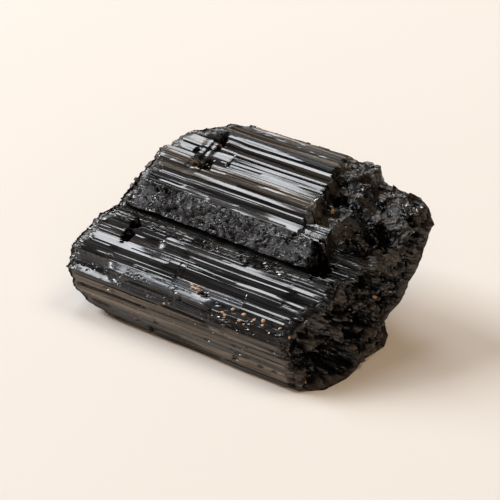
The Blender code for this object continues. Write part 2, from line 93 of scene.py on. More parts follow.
# The clean cross break of the upper block, and the slanted end of the slab in front of it.
# A run is the distance along x over which one section turns into the next, and a table of runs holds
# (facet corner, run).
BLOCK_BREAK_X = -15.2
BLOCK_BREAK_RUN = 0.9
SLAB_FOOT_X = -11.3
SLAB_TOP_X = -8.9
SLAB_END_RUN = 0.9
BAND_BREAK_RUN = 3.0
SLOW_RUN = 5.0
BLOCK_TOP_SLAB_RUN = [(0, SLAB_END_RUN), (6, 1.4), (9, 3.6), (17, 3.6), (21, 1.2)]
BACK_RUN = [(0, 1.2), (4, SLOW_RUN)]
LOW_START_X = -8.5
LOW_END_X = 3.0

# Stations along x between the ends and the cross breaks, and the least gaps that they keep
STATION_COUNTS = [134, 8, 18, 12, 44]
ROD_END_RUN = 0.16
LEAST_STEP = 0.03
LEAST_STRETCH = 0.4
LOWEST_SIDE = 0.2

# Stands for the right-hand end of a facet's last stretch, and for a distance longer than any in the chunk
ALL = 1000.0

# Added to a length or to its square before dividing by it, because it may be 0
LEAST_LENGTH = 1e-9
LEAST_SQUARE = 1e-12

# Each facet is a list of stretches along x: (ends at x, width, tilt from level in degrees)
FACE = [
    [(-37.0, 1.75, 157), (ALL, 0.95, 128)],
    [(ALL, 1.25, 75)],
    [(ALL, 2.45, 80)],
    [(ALL, 1.65, 72)],
    [(-46.8, 1.60, 58), (ALL, 1.60, 66)],
]
SHOULDER = [
    [(-49.5, 1.45, 8), (-46.8, 1.20, 8), (-25.5, 0.75, 55), (ALL, 0.75, 58)],
    [(-49.5, 1.10, 50), (-46.8, 2.10, 80), (-25.5, 1.95, 74), (ALL, 1.45, 52)],
    [(-49.5, 2.00, 66), (-26.0, 1.85, 9), (ALL, 1.95, 30)],
]
FRONT_TOP = [
    [(-49.5, 0.80, 40), (-35.2, 0.80, 32), (-19.5, 0.85, 15), (ALL, 0.80, 22)],
    [(-35.2, 0.57, 34), (-19.5, 0.60, 18), (ALL, 0.57, 34)],
    [(-35.2, 0.40, 34), (ALL, 0.50, 8)],
    [(-35.2, 1.50, 36), (-19.5, 1.50, 46), (ALL, 1.50, 38)],
    [(-37.7, 0.60, 8), (-12.0, 0.50, 36), (ALL, 0.60, 8)],
    [(-33.9, 0.97, 8), (ALL, 0.76, 36)],
    [(ALL, 0.50, 8)],
    [(ALL, 0.38, 34)],
    [(ALL, 1.71, 35)],
    [(ALL, 0.38, 48)],
    [(-41.0, 1.20, 32), (ALL, 1.46, 8)],
    [(ALL, 0.57, 35)],
    [(ALL, 1.00, 36)],
    [(ALL, 1.10, 34)],
]
GROOVE = [
    [(ALL, 2.30, 8)],
    [(ALL, 2.30, 158)],
]
BAND = [
    [(ALL, 2.00, 62)],
    [(ALL, 2.00, 57)],
    [(ALL, 2.00, 55)],
]
BLOCK_TOP = [
    [(ALL, 1.94, 8)],
    [(ALL, 0.57, 38)],
    [(ALL, 0.85, 20)],
    [(ALL, 0.77, 60)],
    [(ALL, 0.97, 8)],
    [(ALL, 0.80, 68)],
    [(-42.0, 1.60, 8), (ALL, 2.15, -22)],
    [(ALL, 0.40, 60)],
    [(ALL, 1.60, -15)],
    [(-43.2, 0.80, 8), (-36.0, 0.90, 38), (ALL, 1.00, 8)],
    [(-43.2, 0.90, -22), (-36.0, 0.90, -8), (ALL, 0.95, 8)],
    [(-36.0, 1.80, 2), (ALL, 1.05, 8)],
    [(ALL, 0.38, 50)],
    [(-40.8, 0.73, 8), (ALL, 0.50, 8)],
    [(-40.8, 1.70, 4), (ALL, 1.60, -22)],
    [(ALL, 0.95, 66)],
    [(ALL, 0.70, 8)],
    [(ALL, 0.76, 38)],
    [(ALL, 1.15, 8)],
    [(ALL, 2.05, -24)],
    [(ALL, 0.75, 45)],
    [(ALL, 0.60, 14)],
    [(ALL, 1.95, -24)],
]
BACK = [
    [(ALL, 1.7, -62)],
    [(ALL, 3.8, -96)],
    [(ALL, 3.4, -104)],
    [(ALL, 3.6, -116)],
    [(ALL, 4.4, -122)],
    [(ALL, 4.6, -125)],
    [(ALL, 4.0, -128)],
    [(ALL, 3.2, -133)],
    [(ALL, 0.8, -160)],
]
BASE = [
    [(ALL, 12.8, 180)],
    [(ALL, 6.4, 180)],
    [(ALL, 5.0, 180)],
    [(ALL, 2.0, 180)],
    [(ALL, 1.45, 180)],
]

# Fixed corners (y, z) that the facets of each panel run between
FOOT = (0.80, 0.0)
FACE_END = (2.0, 7.8)
SHOULDER_END = (5.0, 10.7)
FRONT_TOP_END = (15.2, 16.1)
GROOVE_END = (15.5, 17.1)
BAND_END = (18.7, 22.2)
BLOCK_END = (40.8, 25.95)
BACK_FOOT = (27.8, 0.0)

# One strip of the chunk's outside: its name, the corners that it runs between, its facets, the width of one
# striation, and three numbers for the striations: how many degrees they wobble, the share of them that form
# sharp ribs and grooves, and how many degrees they turn one way at a facet's first edge and back at its last
PrismPanel = namedtuple("PrismPanel", "name first last facets lane wobble ribs rounding")
PANELS = [
    PrismPanel("face", FOOT, FACE_END, FACE, 0.34, 5.0, 0.95, 2.0),
    PrismPanel("shoulder", FACE_END, SHOULDER_END, SHOULDER, 0.19, 2.0, 0.08, 0.0),
    PrismPanel("front_top", SHOULDER_END, FRONT_TOP_END, FRONT_TOP, 0.165, 3.0, 0.32, 4.0),
    PrismPanel("groove", FRONT_TOP_END, GROOVE_END, GROOVE, 0.40, 2.0, 0.0, 0.0),
    PrismPanel("band", GROOVE_END, BAND_END, BAND, 0.20, 2.0, 0.0, 0.0),
    PrismPanel("block_top", BAND_END, BLOCK_END, BLOCK_TOP, 0.205, 3.0, 0.34, 4.0),
    PrismPanel("back", BLOCK_END, BACK_FOOT, BACK, 0.62, 9.0, 0.2, 0.0),
    PrismPanel("base", BACK_FOOT, FOOT, BASE, 9.0, 0.0, 0.0, 0.0),
]
PANEL_NAMES = [panel.name for panel in PANELS]

# Places with more or fewer ribs than the rest of their panel, where a later row goes over an earlier one:
# (panel, first facet, last facet, x from, x to, share of ribs)
RIBBED = [
    ("block_top", 0, 0, -60.0, -29.4, 0.9),
    ("block_top", 1, 2, -60.0, -29.4, 0.5),
    ("block_top", 4, 4, -60.0, 10.0, 0.0),
    ("block_top", 6, 8, -60.0, 10.0, 0.4),
    ("block_top", 9, 10, -60.0, 10.0, 0.2),
    ("block_top", 11, 14, -60.0, 10.0, 0.0),
    ("block_top", 18, 18, -60.0, 10.0, 0.3),
    ("block_top", 19, 19, -60.0, 10.0, 0.15),
    ("block_top", 0, 4, SLAB_TOP_X, 10.0, 0.9),
    ("band", 0, 2, -60.0, -50.2, 0.8),
    ("band", 0, 2, SLAB_TOP_X, 10.0, 0.9),
    ("front_top", 4, 6, -60.0, -33.9, 0.05),
    ("front_top", 8, 9, -60.0, 10.0, 0.3),
    ("front_top", 10, 10, -60.0, 10.0, 0.14),
    ("front_top", 11, 13, -60.0, 10.0, 0.9),
    ("shoulder", 0, 1, -44.0, -22.0, 0.5),
]

# The same panels further right, where the upper block is missing: (facet corner, y, z). The first section is
# beside the slab, the second is right of it, and the third is at the broken end. A panel that a section
# doesn't name stays as it is on the left.
BASE_ROWS = [(1, 15.0, 0.0), (2, 8.6, 0.0), (3, 3.6, 0.0), (4, 2.0, 0.0), (5, 0.8, 0.0)]
SLAB_SECTION = {
    "block_top": [(0, 18.7, 22.0), (4, 22.4, 22.5), (6, 23.5, 20.4), (12, 31.0, 22.2), (18, 36.0, 24.6),
                  (23, 40.8, 26.3)],
    "back": [(0, 40.8, 26.3), (1, 41.3, 24.2), (3, 40.3, 17.6), (6, 32.6, 6.6), (9, 27.0, 0.0)],
    "base": [(0, 27.0, 0.0)] + BASE_ROWS,
}
LOW_SECTION = {
    "groove": [(0, 15.2, 16.1), (1, 15.6, 16.2), (2, 16.0, 16.25)],
    "band": [(0, 16.0, 16.25), (3, 19.2, 17.3)],
    "block_top": [(0, 19.2, 17.3), (5, 23.8, 19.2), (12, 31.0, 20.2), (18, 35.6, 22.4), (23, 39.6, 24.0)],
    "back": [(0, 39.6, 24.0), (1, 40.2, 22.6), (3, 39.0, 17.6), (6, 31.0, 6.6), (9, 25.5, 0.0)],
    "base": [(0, 25.5, 0.0)] + BASE_ROWS,
}
END_SECTION = {
    "groove": [(0, 15.2, 16.1), (1, 15.6, 16.2), (2, 16.0, 16.25)],
    "band": [(0, 16.0, 16.25), (3, 20.0, 16.7)],
    "block_top": [(0, 20.0, 16.7), (5, 24.4, 17.0), (12, 30.5, 19.2), (18, 34.8, 21.6), (23, 38.6, 23.6)],
    "back": [(0, 38.6, 23.6), (1, 38.9, 22.2), (2, 37.4, 19.8), (4, 33.0, 13.9), (6, 28.3, 6.6),
             (8, 23.2, 1.2), (9, 20.8, 0.0)],
    "base": [(0, 20.8, 0.0)] + BASE_ROWS,
}

# Left-hand end of each panel: (facet corner, x)
LEFT_EDGE = {
    "face": [(0, -46.6), (1, -48.3), (1.45, -48.8), (1.55, -51.4), (2, -53.0), (2.4, -54.0), (2.6, -55.3),
             (3, -56.3), (4, -57.1), (5, -58.3)],
    "shoulder": [(0, -58.3), (3, -58.9)],
    "front_top": [(0, -58.9), (4, -58.4), (9, -57.7), (11, -57.0), (14, -54.6)],
    "groove": [(0, -54.6), (2, -54.0)],
    "band": [(0, -54.0), (3, -51.4)],
    "block_top": [(0, -51.4), (4, -50.6), (7, -50.6), (9, -50.9), (10, -50.2), (11, -49.6), (12, -49.6),
                  (14, -49.2), (15, -48.6), (16, -47.2), (17, -46.0), (19, -43.8), (22, -41.0), (23, -38.6)],
    "back": [(0, -38.6), (1, -39.4), (3, -43.0), (6, -46.5), (9, -46.0)],
    "base": [(0, -46.0), (5, -45.6)],
}

# Where the cross breaks fall on each panel: (facet corner, x of the block's break, x of the slab's end)
BREAK_EDGE = {
    "face": [(0, -24.0, -13.0), (5, -24.0, -14.0)],
    "shoulder": [(0, -24.0, -14.0), (3, -24.0, -14.0)],
    "front_top": [(0, -24.0, -14.0), (8, -22.0, -12.5), (14, -16.5, SLAB_FOOT_X)],
    "groove": [(0, -16.5, SLAB_FOOT_X), (2, -16.0, SLAB_FOOT_X)],
    "band": [(0, -16.0, SLAB_FOOT_X), (3, BLOCK_BREAK_X, SLAB_TOP_X)],
    "block_top": [(0, BLOCK_BREAK_X + 0.4, SLAB_TOP_X), (4, BLOCK_BREAK_X + 0.5, -9.4),
                  (6, BLOCK_BREAK_X + 1.4, -9.6), (12, BLOCK_BREAK_X, -9.0), (23, BLOCK_BREAK_X - 1.2, -8.5)],
    "back": [(0, BLOCK_BREAK_X - 1.2, -8.5), (1, BLOCK_BREAK_X - 1.2, -8.7), (4, -24.0, -13.0),
             (9, -24.0, -13.0)],
    "base": [(0, -24.0, -13.0), (5, -24.0, -13.0)],
}

# The broken right-hand end: x of the fracture at (y, z)
FRACTURE_RIGHT = [
    (-4.0, 0.15, 0.0), (-5.2, 0.3, 2.2), (-6.4, 0.9, 5.0), (-7.4, 2.0, 7.8), (-7.7, 3.5, 9.5),
    (-7.7, 5.0, 10.7), (-6.5, 8.5, 12.9), (-3.8, 11.7, 14.6), (-4.2, 13.5, 15.5), (-3.0, 15.5, 16.3),
    (-1.2, 18.5, 16.6), (-1.0, 21.5, 17.0), (0.4, 25.0, 17.4), (2.2, 30.5, 19.2), (2.8, 34.8, 21.6),
    (2.2, 38.6, 23.6), (5.6, 37.4, 19.8), (5.2, 33.0, 13.9), (3.8, 28.3, 6.8), (1.9, 24.6, 3.0),
    (4.0, 22.4, 1.0), (4.2, 20.5, 0.0), (2.4, 15.0, 0.0), (2.4, 8.6, 0.0), (0.4, 3.6, 0.0), (-2.0, 1.6, 0.0),
    (-4.8, 5.5, 5.5), (-3.6, 9.0, 7.5), (2.6, 12.5, 3.5), (1.0, 14.5, 9.0), (-2.2, 11.0, 12.0),
    (2.9, 20.5, 6.5), (1.2, 22.0, 12.0), (3.4, 27.5, 12.5), (3.8, 31.0, 16.0),
]
# The broken left-hand end
FRACTURE_LEFT = [
    (-45.8, 0.0, 0.0), (-53.0, 0.4, 2.4), (-58.1, 2.0, 7.8), (-58.8, 5.0, 10.7), (-57.4, 10.5, 14.0),
    (-54.2, 15.4, 16.6), (-52.4, 18.7, 22.2), (-50.6, 22.5, 23.6), (-50.2, 30.5, 24.3), (-46.0, 34.6, 24.5),
    (-37.0, 40.6, 25.2), (-43.0, 39.6, 17.0), (-46.5, 32.6, 6.6), (-46.0, 27.8, 0.0), (-50.5, 12.0, 0.0),
    (-57.6, 9.0, 7.0), (-55.5, 17.0, 10.0), (-52.5, 25.0, 13.0), (-52.0, 22.0, 4.0), (-48.5, 33.0, 17.0),
]

# Pits: (x, y, half length, half width, depth)
PITS = [
    (-48.7, 13.0, 1.0, 1.3, 1.6),
    (-49.1, 10.6, 1.1, 1.4, 1.4),
    (-39.8, 25.8, 1.5, 2.0, 1.1),
    (-40.5, 33.4, 0.8, 2.3, 1.2),
    (-44.0, 29.3, 0.7, 0.8, 0.8),
    (-8.7, 17.3, 2.3, 2.1, 3.0),
    (-4.8, 24.4, 2.6, 2.2, 1.3),
    (-2.4, 28.1, 3.4, 2.8, 1.9),
    (-12.2, 31.5, 1.5, 1.6, 1.3),
    (2.2, 34.4, 1.5, 1.2, 0.9),
    (-20.5, 13.9, 4.0, 0.8, 0.4),
    (-33.0, 14.1, 3.0, 0.7, 0.4),
    (-27.5, 5.6, 1.2, 0.7, 0.5),
]

# Slow swelling of the prisms: height, length and width
PRISM_WAVE = 0.32
PRISM_WAVE_LENGTH = 11.0
PRISM_WAVE_WIDTH = 2.9

# Heights of the large lumps on each part of the surface
FACE_LUMP = 0.04
SHOULDER_LUMP = 0.06
LEDGE_LUMP = 0.14
GROOVE_LUMP = 0.10
BAND_LUMP = 0.16
BACK_LUMP = 0.35
BACK_LUMP_PAST_BREAK = 0.40
FRACTURE_LUMP = 1.15
END_LUMP = 2.0

# Share of the lumps that the band loses past the slab's end, and that the ledge loses past its own end
BAND_LUMP_LOSS = 0.8
LEDGE_LUMP_LOSS = 0.7

# How far ahead of a break its lumps and its fresh surface start, and over what length they grow
LUMPS_LEAD = 0.5
BREAK_LUMPS_RUN = 1.2
SLAB_LUMPS_RUN = 2.0
FRESH_LEAD = 0.2
FRESH_RUN = 0.5

# Sizes of the lumps' flats, how far a flat is pushed and tilted, and the share of a lump's move along x
FRACTURE_CELL = 3.4
END_CELL = 5.0
LUMP_CELL = 2.0
COARSE_SHARE = 0.65
LUMP_PUSH = 1.6
LUMP_TILT = 1.2
ALONG_SHARE = 0.35

# Fine breakage on top of the large lumps: (size of one flat, height), and the share of its move along x
FINE_BREAKAGE = [(1.5, 0.17), (0.7, 0.05)]
FINE_ALONG_SHARE = 0.5

# Pits: how round their bottoms are, how ragged their rims are, the sizes of that raggedness along x and y,
# and from what depth a pit counts as broken
PIT_ROUNDNESS = 0.7
PIT_RAGGEDNESS = 0.7
PIT_RIM_COARSE = (1.4, 0.9)
PIT_RIM_FINE = (0.5, 0.4)
PIT_BROKEN_FROM = 0.1
PIT_BROKEN_GAIN = 1.5

# The dull band under the block: pits, creases, slow swelling, the step at its left-hand end, and where it
# starts and stops being dull
BAND_PIT_SPACING = 1.7
BAND_PIT_DEPTH = 0.50
BAND_PIT_CHOICE = -0.05
BAND_PIT_REACH = 0.36
BAND_PIT_SHARPNESS = 2.0
BAND_BEND = 0.7
BAND_BEND_LENGTH = 1.9
BAND_CREASE_LENGTH = 1.3
BAND_CREASE_BEND = 0.8
BAND_CREASE_WIDTH = 0.09
BAND_CREASE_DEPTH = 0.26
BAND_SWELL = 0.22
BAND_SWELL_LENGTH = 2.6
BAND_START_X = -50.2
BAND_STEP = 0.6
BAND_FACETS = len(BAND)
BAND_MATTE_LEAD = 0.5
BAND_MATTE_RUN = 1.5

# The worn ridge of the shoulder: longish pits, where they lie, and slow swelling
SHOULDER_PIT = Vector((1.2, 0.75, 0.75))
SHOULDER_PIT_REACH = 0.36
SHOULDER_PIT_ROUNDNESS = 0.6
SHOULDER_PIT_DEPTH = 0.28
SHOULDER_PIT_PATCH = 4.0
SHOULDER_PIT_CHOICE = -0.15
SHOULDER_SWELL = 0.05
SHOULDER_SWELL_SIZE = (3.8, 1.7, 1.7)
SHOULDER_FACETS = len(SHOULDER)

# Crumbled ends of the prisms: how far they reach at the left end (False) and the right end (True), how uneven
# that is, how deep they go, their lumps as (size, height), how much painted shade darkens them and how broken
# they are, and which panels crumble at the right end
CRUMBLE_REACH = {False: 2.3, True: 2.4}
CRUMBLE_UNEVEN = 0.9
CRUMBLE_DEPTH = 0.75
CRUMBLE_LUMPS = [(2.2, 0.22), (1.1, 0.13)]
CRUMBLE_SHADE = 0.35
CRUMBLE_BROKEN_GAIN = 2.0
RIGHT_CRUMBLE = ("face", "shoulder", "front_top", "groove")

# Where the ledge under the band and the plateau in front of it end, and where the shoulder stops being worn
LEDGE_END_X = -14.0
LEDGE_END_RUN = 2.0
PLATEAU_START_X = -35.3
PLATEAU_END_X = -19.6
PLATEAU_RUN = 0.2
PLATEAU_CORNER = 3.0
WORN_END_X = -27.0
WORN_END_RUN = 3.0

# Shares across a panel: (facet corner, share)
BLOCK_ROUGH_SHARE = [(0, 0.04), (4, 0.06), (6, 0.75), (7, 1.0)]
BLOCK_BROKEN_SHARE = [(0, 0.0), (4, 0.05), (5, 1.0), (23, 1.0)]
BACK_BROKEN_SHARE = [(0, 0.3), (1, 0.6), (9, 0.8)]
LEDGE_ROUGH_SHARE = [(11, 0.0), (12, 1.0), (14, 1.0)]
LEDGE_BROKEN = 0.15
BAND_MATTE_SHARE = [(0, 1.0), (2.9, 1.0), (3.0, 0.3)]
WORN_SHARE = [(0, 0.45), (0.9, 0.45), (1.0, 0.1), (1.9, 0.1), (2.0, 0.5), (3, 0.5)]
GROOVE_MATTE = 0.8
PLATEAU_MATTE = 0.6
# The ledge's and the groove's shade is painted shade: how far the hollow under the band is darkened towards
# black
LEDGE_SHADE_SHARE = [(10.9, 0.0), (11.6, 0.2), (12.4, 0.34), (14.0, 0.42)]
GROOVE_SHADE = 0.45

# Share of brown film, partly dust and partly painted reflection of the warm floor: across the front face,
# where it is 0 on the tucked-under foot so that this stays black as painted shade, on the facets of the block
# that carry it, and on the broken ends, where it is painted warm light
FACE_FILM_AND_REFLECTION = [(0, 0.0), (1.35, 0.0), (1.65, 0.9), (3, 0.85), (4.5, 0.6), (5, 0.2)]
BLOCK_FILM_AND_REFLECTION = {4: 0.25, 5: 0.3, 6: 0.55, 7: 0.55, 8: 0.5, 9: 0.2, 14: 0.45, 15: 0.4, 19: 0.5, 20: 0.5, 22: 0.7}
END_FILM_AND_REFLECTION = 0.65

# Shifts that keep the noises apart, and the steps that the noises of the edges take from panel to panel and
# from facet to facet
CELL_MIX = 7.3
EDGE_STEPS = (9.0, 2.3)
CRUMBLE_STEPS = (5.3, 1.1)
PUSH_SHIFT = Vector((31.7, 5.1, 2.0))
TILT_SHIFT = Vector((4.0, 17.3, 3.3))
FINE_SHIFT = Vector((40.0, 9.0, 3.0))
WAVE_SHIFT = Vector((3.1, 8.4, 1.7))
END_SHIFT = 50.0
END_FINE_SHIFT = 80.0


# ---------------------------------------------------------------- the shape of the chunk

def random_number(*key):
    """A steady random number from 0 to 1 for a key."""
    return random.Random(f"{SEED}:{key}").random()


def column_of(table, at, column=1):
    """Read one column of a table by straight lines between its rows, at one place or several."""
    return np.interp(at, [row[0] for row in table], [row[column] for row in table])


def ramp(xs, start, run):
    """0 before start, 1 after start + run."""
    return np.clip((xs - start) / run, 0.0, 1.0)


def smooth_ramp(xs, start, run):
    """A ramp with soft ends."""
    part = ramp(xs, start, run)
    return part * part * (3.0 - 2.0 * part)


# The walk: the x at which every striation's corner is worked out
WALK_START = -62.0
WALK_STOP = 8.0
WALK_STEP = 0.1
WALK_X = np.arange(WALK_START, WALK_STOP, WALK_STEP)

# Widths of the striations: how much they differ, and how much each one swells along x
LANE_SPREAD = 0.45
LANE_SWELL = 0.5
SHARE_WAVE_LENGTH = 9.0
SHARE_X = WALK_X[::10]

# Ribs: their mean and least lengths, how many degrees their sides turn, and the first facet of the ledge,
# from which on they turn further
RIB_LENGTH = 18.0
SHORTEST_RIB = 2.0
RIB_TURN = (12.0, 36.0)
FACE_RIB_TURN = (11.0, 36.0)
LEDGE_FACET = 11
LEDGE_RIB_GAIN = 1.4

# Panels whose facets run into each other, how far they do, and how far a facet's change is smoothed along x
ROUNDED = ("shoulder",)
ROUNDING = 0.25
SETTLE_REACH = 1.5
SETTLE_FADE = 1.5


def facet_at(stretches, xs):
    """Width and tilt of a facet at each x."""
    width = np.full(xs.shape, float(stretches[-1][1]))
    tilt = np.full(xs.shape, float(stretches[-1][2]))
    for end, stretch_width, stretch_tilt in reversed(stretches[:-1]):
        width = np.where(xs < end, stretch_width, width)
        tilt = np.where(xs < end, stretch_tilt, tilt)
    return width, tilt


def lane_shares(panel_name, number, count):
    """How a facet's width is shared between its striations at each x of the walk."""
    widths = []
    for lane in range(count):
        dice = random.Random(f"{SEED}:share:{panel_name}:{number}:{lane}")
        base = math.exp(dice.gauss(0.0, LANE_SPREAD))
        phase = dice.uniform(0.0, 100.0)
        swell = np.array([noise.noise(Vector((x / SHARE_WAVE_LENGTH, phase, 0.5))) for x in SHARE_X])
        widths.append(base * (1.0 + LANE_SWELL * np.interp(WALK_X, SHARE_X, swell)))
    widths = np.array(widths)
    return widths / widths.sum(axis=0)


def rib_share(panel, number):
    """Share of striations that are ribs at each x of the walk."""
    share = np.full(WALK_X.shape, float(panel.ribs))
    for name, first, last, start, stop, value in RIBBED:
        if name == panel.name and first <= number <= last:
            share = np.where((WALK_X >= start) & (WALK_X < stop), value, share)
    return share


def lane_turns(panel, number, count):
    """How far each striation of a facet is turned from it at each x, in degrees."""
    share = rib_share(panel, number)
    turn_range = FACE_RIB_TURN if panel.name == "face" else RIB_TURN
    turns = np.zeros((count, len(WALK_X)))
    for lane in range(count):
        dice = random.Random(f"{SEED}:turn:{panel.name}:{number}:{lane}")
        start = WALK_START
        while start < WALK_STOP:
            stop = start + dice.expovariate(1.0 / RIB_LENGTH) + SHORTEST_RIB
            here = (WALK_X >= start) & (WALK_X < stop)
            turns[lane][here] += dice.gauss(0.0, panel.wobble)
            chosen = dice.random()
            strength = dice.uniform(*turn_range) * dice.choice((-1.0, 1.0))
            if panel.name == "front_top" and number >= LEDGE_FACET:
                strength *= LEDGE_RIB_GAIN
            if lane + 1 < count and lane % 2 == 0:
                ribbed = here & (chosen < share)
                turns[lane][ribbed] += strength
                turns[lane + 1][ribbed] -= strength
            start = stop
        middle = (lane + 0.5) / count
        turns[lane] += panel.rounding * (1.0 - 2.0 * middle)
    return turns


def rounded_tilt(panel, number, part):
    """Tilt between neighbouring facets of a rounded panel at a share of the way across one of them."""
    neighbours = (max(0, number - 1), number, min(len(panel.facets) - 1, number + 1))
    before, here, after = [facet_at(panel.facets[near], WALK_X)[1] for near in neighbours]
    if part < 0.5:
        return before + (here - before) * (0.5 + part)
    return here + (after - here) * (part - 0.5)


def walk_panel(panel):
    """A panel's striation corners: their places, (y, z) at each x of the walk, and height on the facet."""
    corners = []
    ats = []
    ripples = []
    here = np.zeros((len(WALK_X), 2))
    widths_so_far = [np.zeros(len(WALK_X))]
    rounded = panel.name in ROUNDED
    for number, stretches in enumerate(panel.facets):
        width, tilt = facet_at(stretches, WALK_X)
        widest = max(row[1] for row in stretches)
        count = max(1, round(widest / panel.lane))
        shares = lane_shares(panel.name, number, count)
        angle = np.radians(tilt + lane_turns(panel, number, count))
        if rounded:
            middles = [(lane + 0.5) / count for lane in range(count)]
            lean = [ROUNDING * (rounded_tilt(panel, number, middle) - tilt) for middle in middles]
            angle = angle + np.radians(np.array(lean))
        step = np.stack([shares * width * np.cos(angle), shares * width * np.sin(angle)], axis=2)
        chord = np.stack([width * np.cos(np.radians(tilt)), width * np.sin(np.radians(tilt))], axis=1)
        if rounded:
            chord = step.sum(axis=0)
        miss = chord - step.sum(axis=0)
        step = step + miss[None] * shares[:, :, None]
        across = np.stack([-np.sin(np.radians(tilt)), np.cos(np.radians(tilt))], axis=1)
        local = np.zeros((len(WALK_X), 2))
        for lane in range(count):
            corners.append(here + local)
            ats.append(number + lane / count)
            ripples.append((local * across).sum(axis=1))
            widths_so_far.append(widths_so_far[-1] + shares[lane] * width)
            local = local + step[lane]
        here = here + chord
    first, last = panel_end_points(panel)
    miss = last - first - here
    whole = widths_so_far[-1]
    points = [eased_along(panel, at, first + corner + miss * (so_far / whole)[:, None])
              for at, corner, so_far in zip(ats, corners, widths_so_far)]
    return np.array(ats), np.array(points), np.array(ripples)


def stretch_ends(panel, number):
    """The x of every end of a stretch inside a facet."""
    return {row[0] for row in panel.facets[number][:-1]}


def eased_along(panel, at, line):
    """Smooth a corner along x except where its own facets change."""
    number = int(at)
    own = stretch_ends(panel, number)
    if number > 0:
        own |= stretch_ends(panel, number - 1)
    if panel.name in ROUNDED:
        own = set()
    sharp = np.zeros(len(WALK_X))
    for end in own:
        sharp = np.maximum(sharp, np.clip(SETTLE_FADE - np.abs(WALK_X - end) / SETTLE_REACH, 0.0, 1.0))
    window = np.hanning(2 * int(SETTLE_REACH / WALK_STEP) + 1)
    window /= window.sum()
    padded = np.pad(line, ((len(window) // 2,) * 2, (0, 0)), mode="edge")
    smooth = np.stack([np.convolve(padded[:, k], window, mode="valid") for k in range(2)], axis=1)
    return smooth + (line - smooth) * sharp[:, None]


def panel_end_points(panel):
    """First and last corner of a panel at each x of the walk."""
    first = np.zeros((len(WALK_X), 2)) + panel.first
    last = np.zeros((len(WALK_X), 2)) + panel.last
    rise = BACK_RISE * np.maximum(0.0, WALK_X - BACK_RISE_FROM)
    if panel.name == "block_top":
        last[:, 1] += rise
    if panel.name == "back":
        first[:, 1] += rise
    tuck = FOOT_TUCK * (1.0 - smooth_ramp(WALK_X, FOOT_TUCK_UNTIL - FOOT_TUCK_RUN / 2, FOOT_TUCK_RUN))
    if panel.name == "face":
        first[:, 0] += tuck
    if panel.name == "base":
        last[:, 0] += tuck
    return first, last


class Fracture:
    """A smooth surface x(y, z) through the control points of a broken end."""

    def __init__(self, rows):
        self.centres = np.array([row[1:] for row in rows], dtype=float)
        heights = np.array([row[0] for row in rows], dtype=float)
        self.mean = heights.mean()
        gaps = np.linalg.norm(self.centres[:, None, :] - self.centres[None, :, :], axis=2)
        self.weights = np.linalg.solve(gaps, heights - self.mean)

    def x_at(self, y, z):
        """Distance along the chunk at which the break lies."""
        gaps = np.linalg.norm(self.centres - (y, z), axis=1)
        return float(self.mean + gaps @ self.weights)


def break_runs(panel_name, at):
    """How far along x the two cross breaks take on a panel."""
    if panel_name in ("band", "groove"):
        return BAND_BREAK_RUN, SLAB_END_RUN
    if panel_name == "block_top":
        return BLOCK_BREAK_RUN, float(column_of(BLOCK_TOP_SLAB_RUN, at))
    if panel_name == "back":
        run = float(column_of(BACK_RUN, at))
        return run, run
    return SLOW_RUN, SLOW_RUN


def section_rows(section, panel_name, at):
    """Point (y, z) of one of the sections on the right, or None where it's the same as on the left."""
    rows = section.get(panel_name)
    if rows is None:
        return None
    return np.array((column_of(rows, at, 1), column_of(rows, at, 2)))


# How far the ends of the columns jump about: at the left-hand end, at the block's break, at the right-hand
# end and at its back, and how wide the jumps of the right-hand end are
EDGE_JITTER = 0.44
BREAK_JITTER = 0.45
RIGHT_JITTER = 1.3
RIGHT_JITTER_BEHIND = 0.3
RIGHT_JITTER_WIDTH = 0.8


def station_positions(panel, at, right):
    """The x of every station of a column, and where its two cross breaks start and how far they run."""
    left = float(column_of(LEFT_EDGE[panel.name], at))
    if panel.name != "base":
        spot = Vector((PANEL_NAMES.index(panel.name) * EDGE_STEPS[0], at * EDGE_STEPS[1], 4.4))
        left += EDGE_JITTER * noise.noise(spot)
    block_x = float(column_of(BREAK_EDGE[panel.name], at, 1))
    slab_x = float(column_of(BREAK_EDGE[panel.name], at, 2))
    if panel.name == "block_top":
        block_x += BREAK_JITTER * (2.0 * random_number("break", round(at * 2.0)) - 1.0)
    block_run, slab_run = break_runs(panel.name, at)
    knots = [left, block_x, block_x + block_run, slab_x, slab_x + slab_run, right]
    for k in range(3, len(knots)):
        knots[k] = max(knots[k], knots[k - 1] + LEAST_STRETCH)
    xs = [knots[0]]
    for start, stop, count in zip(knots, knots[1:], STATION_COUNTS):
        xs += [start + (stop - start) * (step + 1) / count for step in range(count)]
    xs = np.array(xs)
    number = int(at)
    ends = stretch_ends(panel, number)
    if at == number and number > 0:
        ends |= stretch_ends(panel, number - 1)
    for end in sorted(ends):
        middles = (xs[1:-2] + xs[2:-1]) / 2
        near = int(np.argmin(np.abs(middles - end))) + 1
        xs[near] = end - ROD_END_RUN / 2
        xs[near + 1] = end + ROD_END_RUN / 2
    for k in range(1, len(xs)):
        xs[k] = max(xs[k], xs[k - 1] + LEAST_STEP)
    return xs, block_x, block_run, slab_x, slab_run


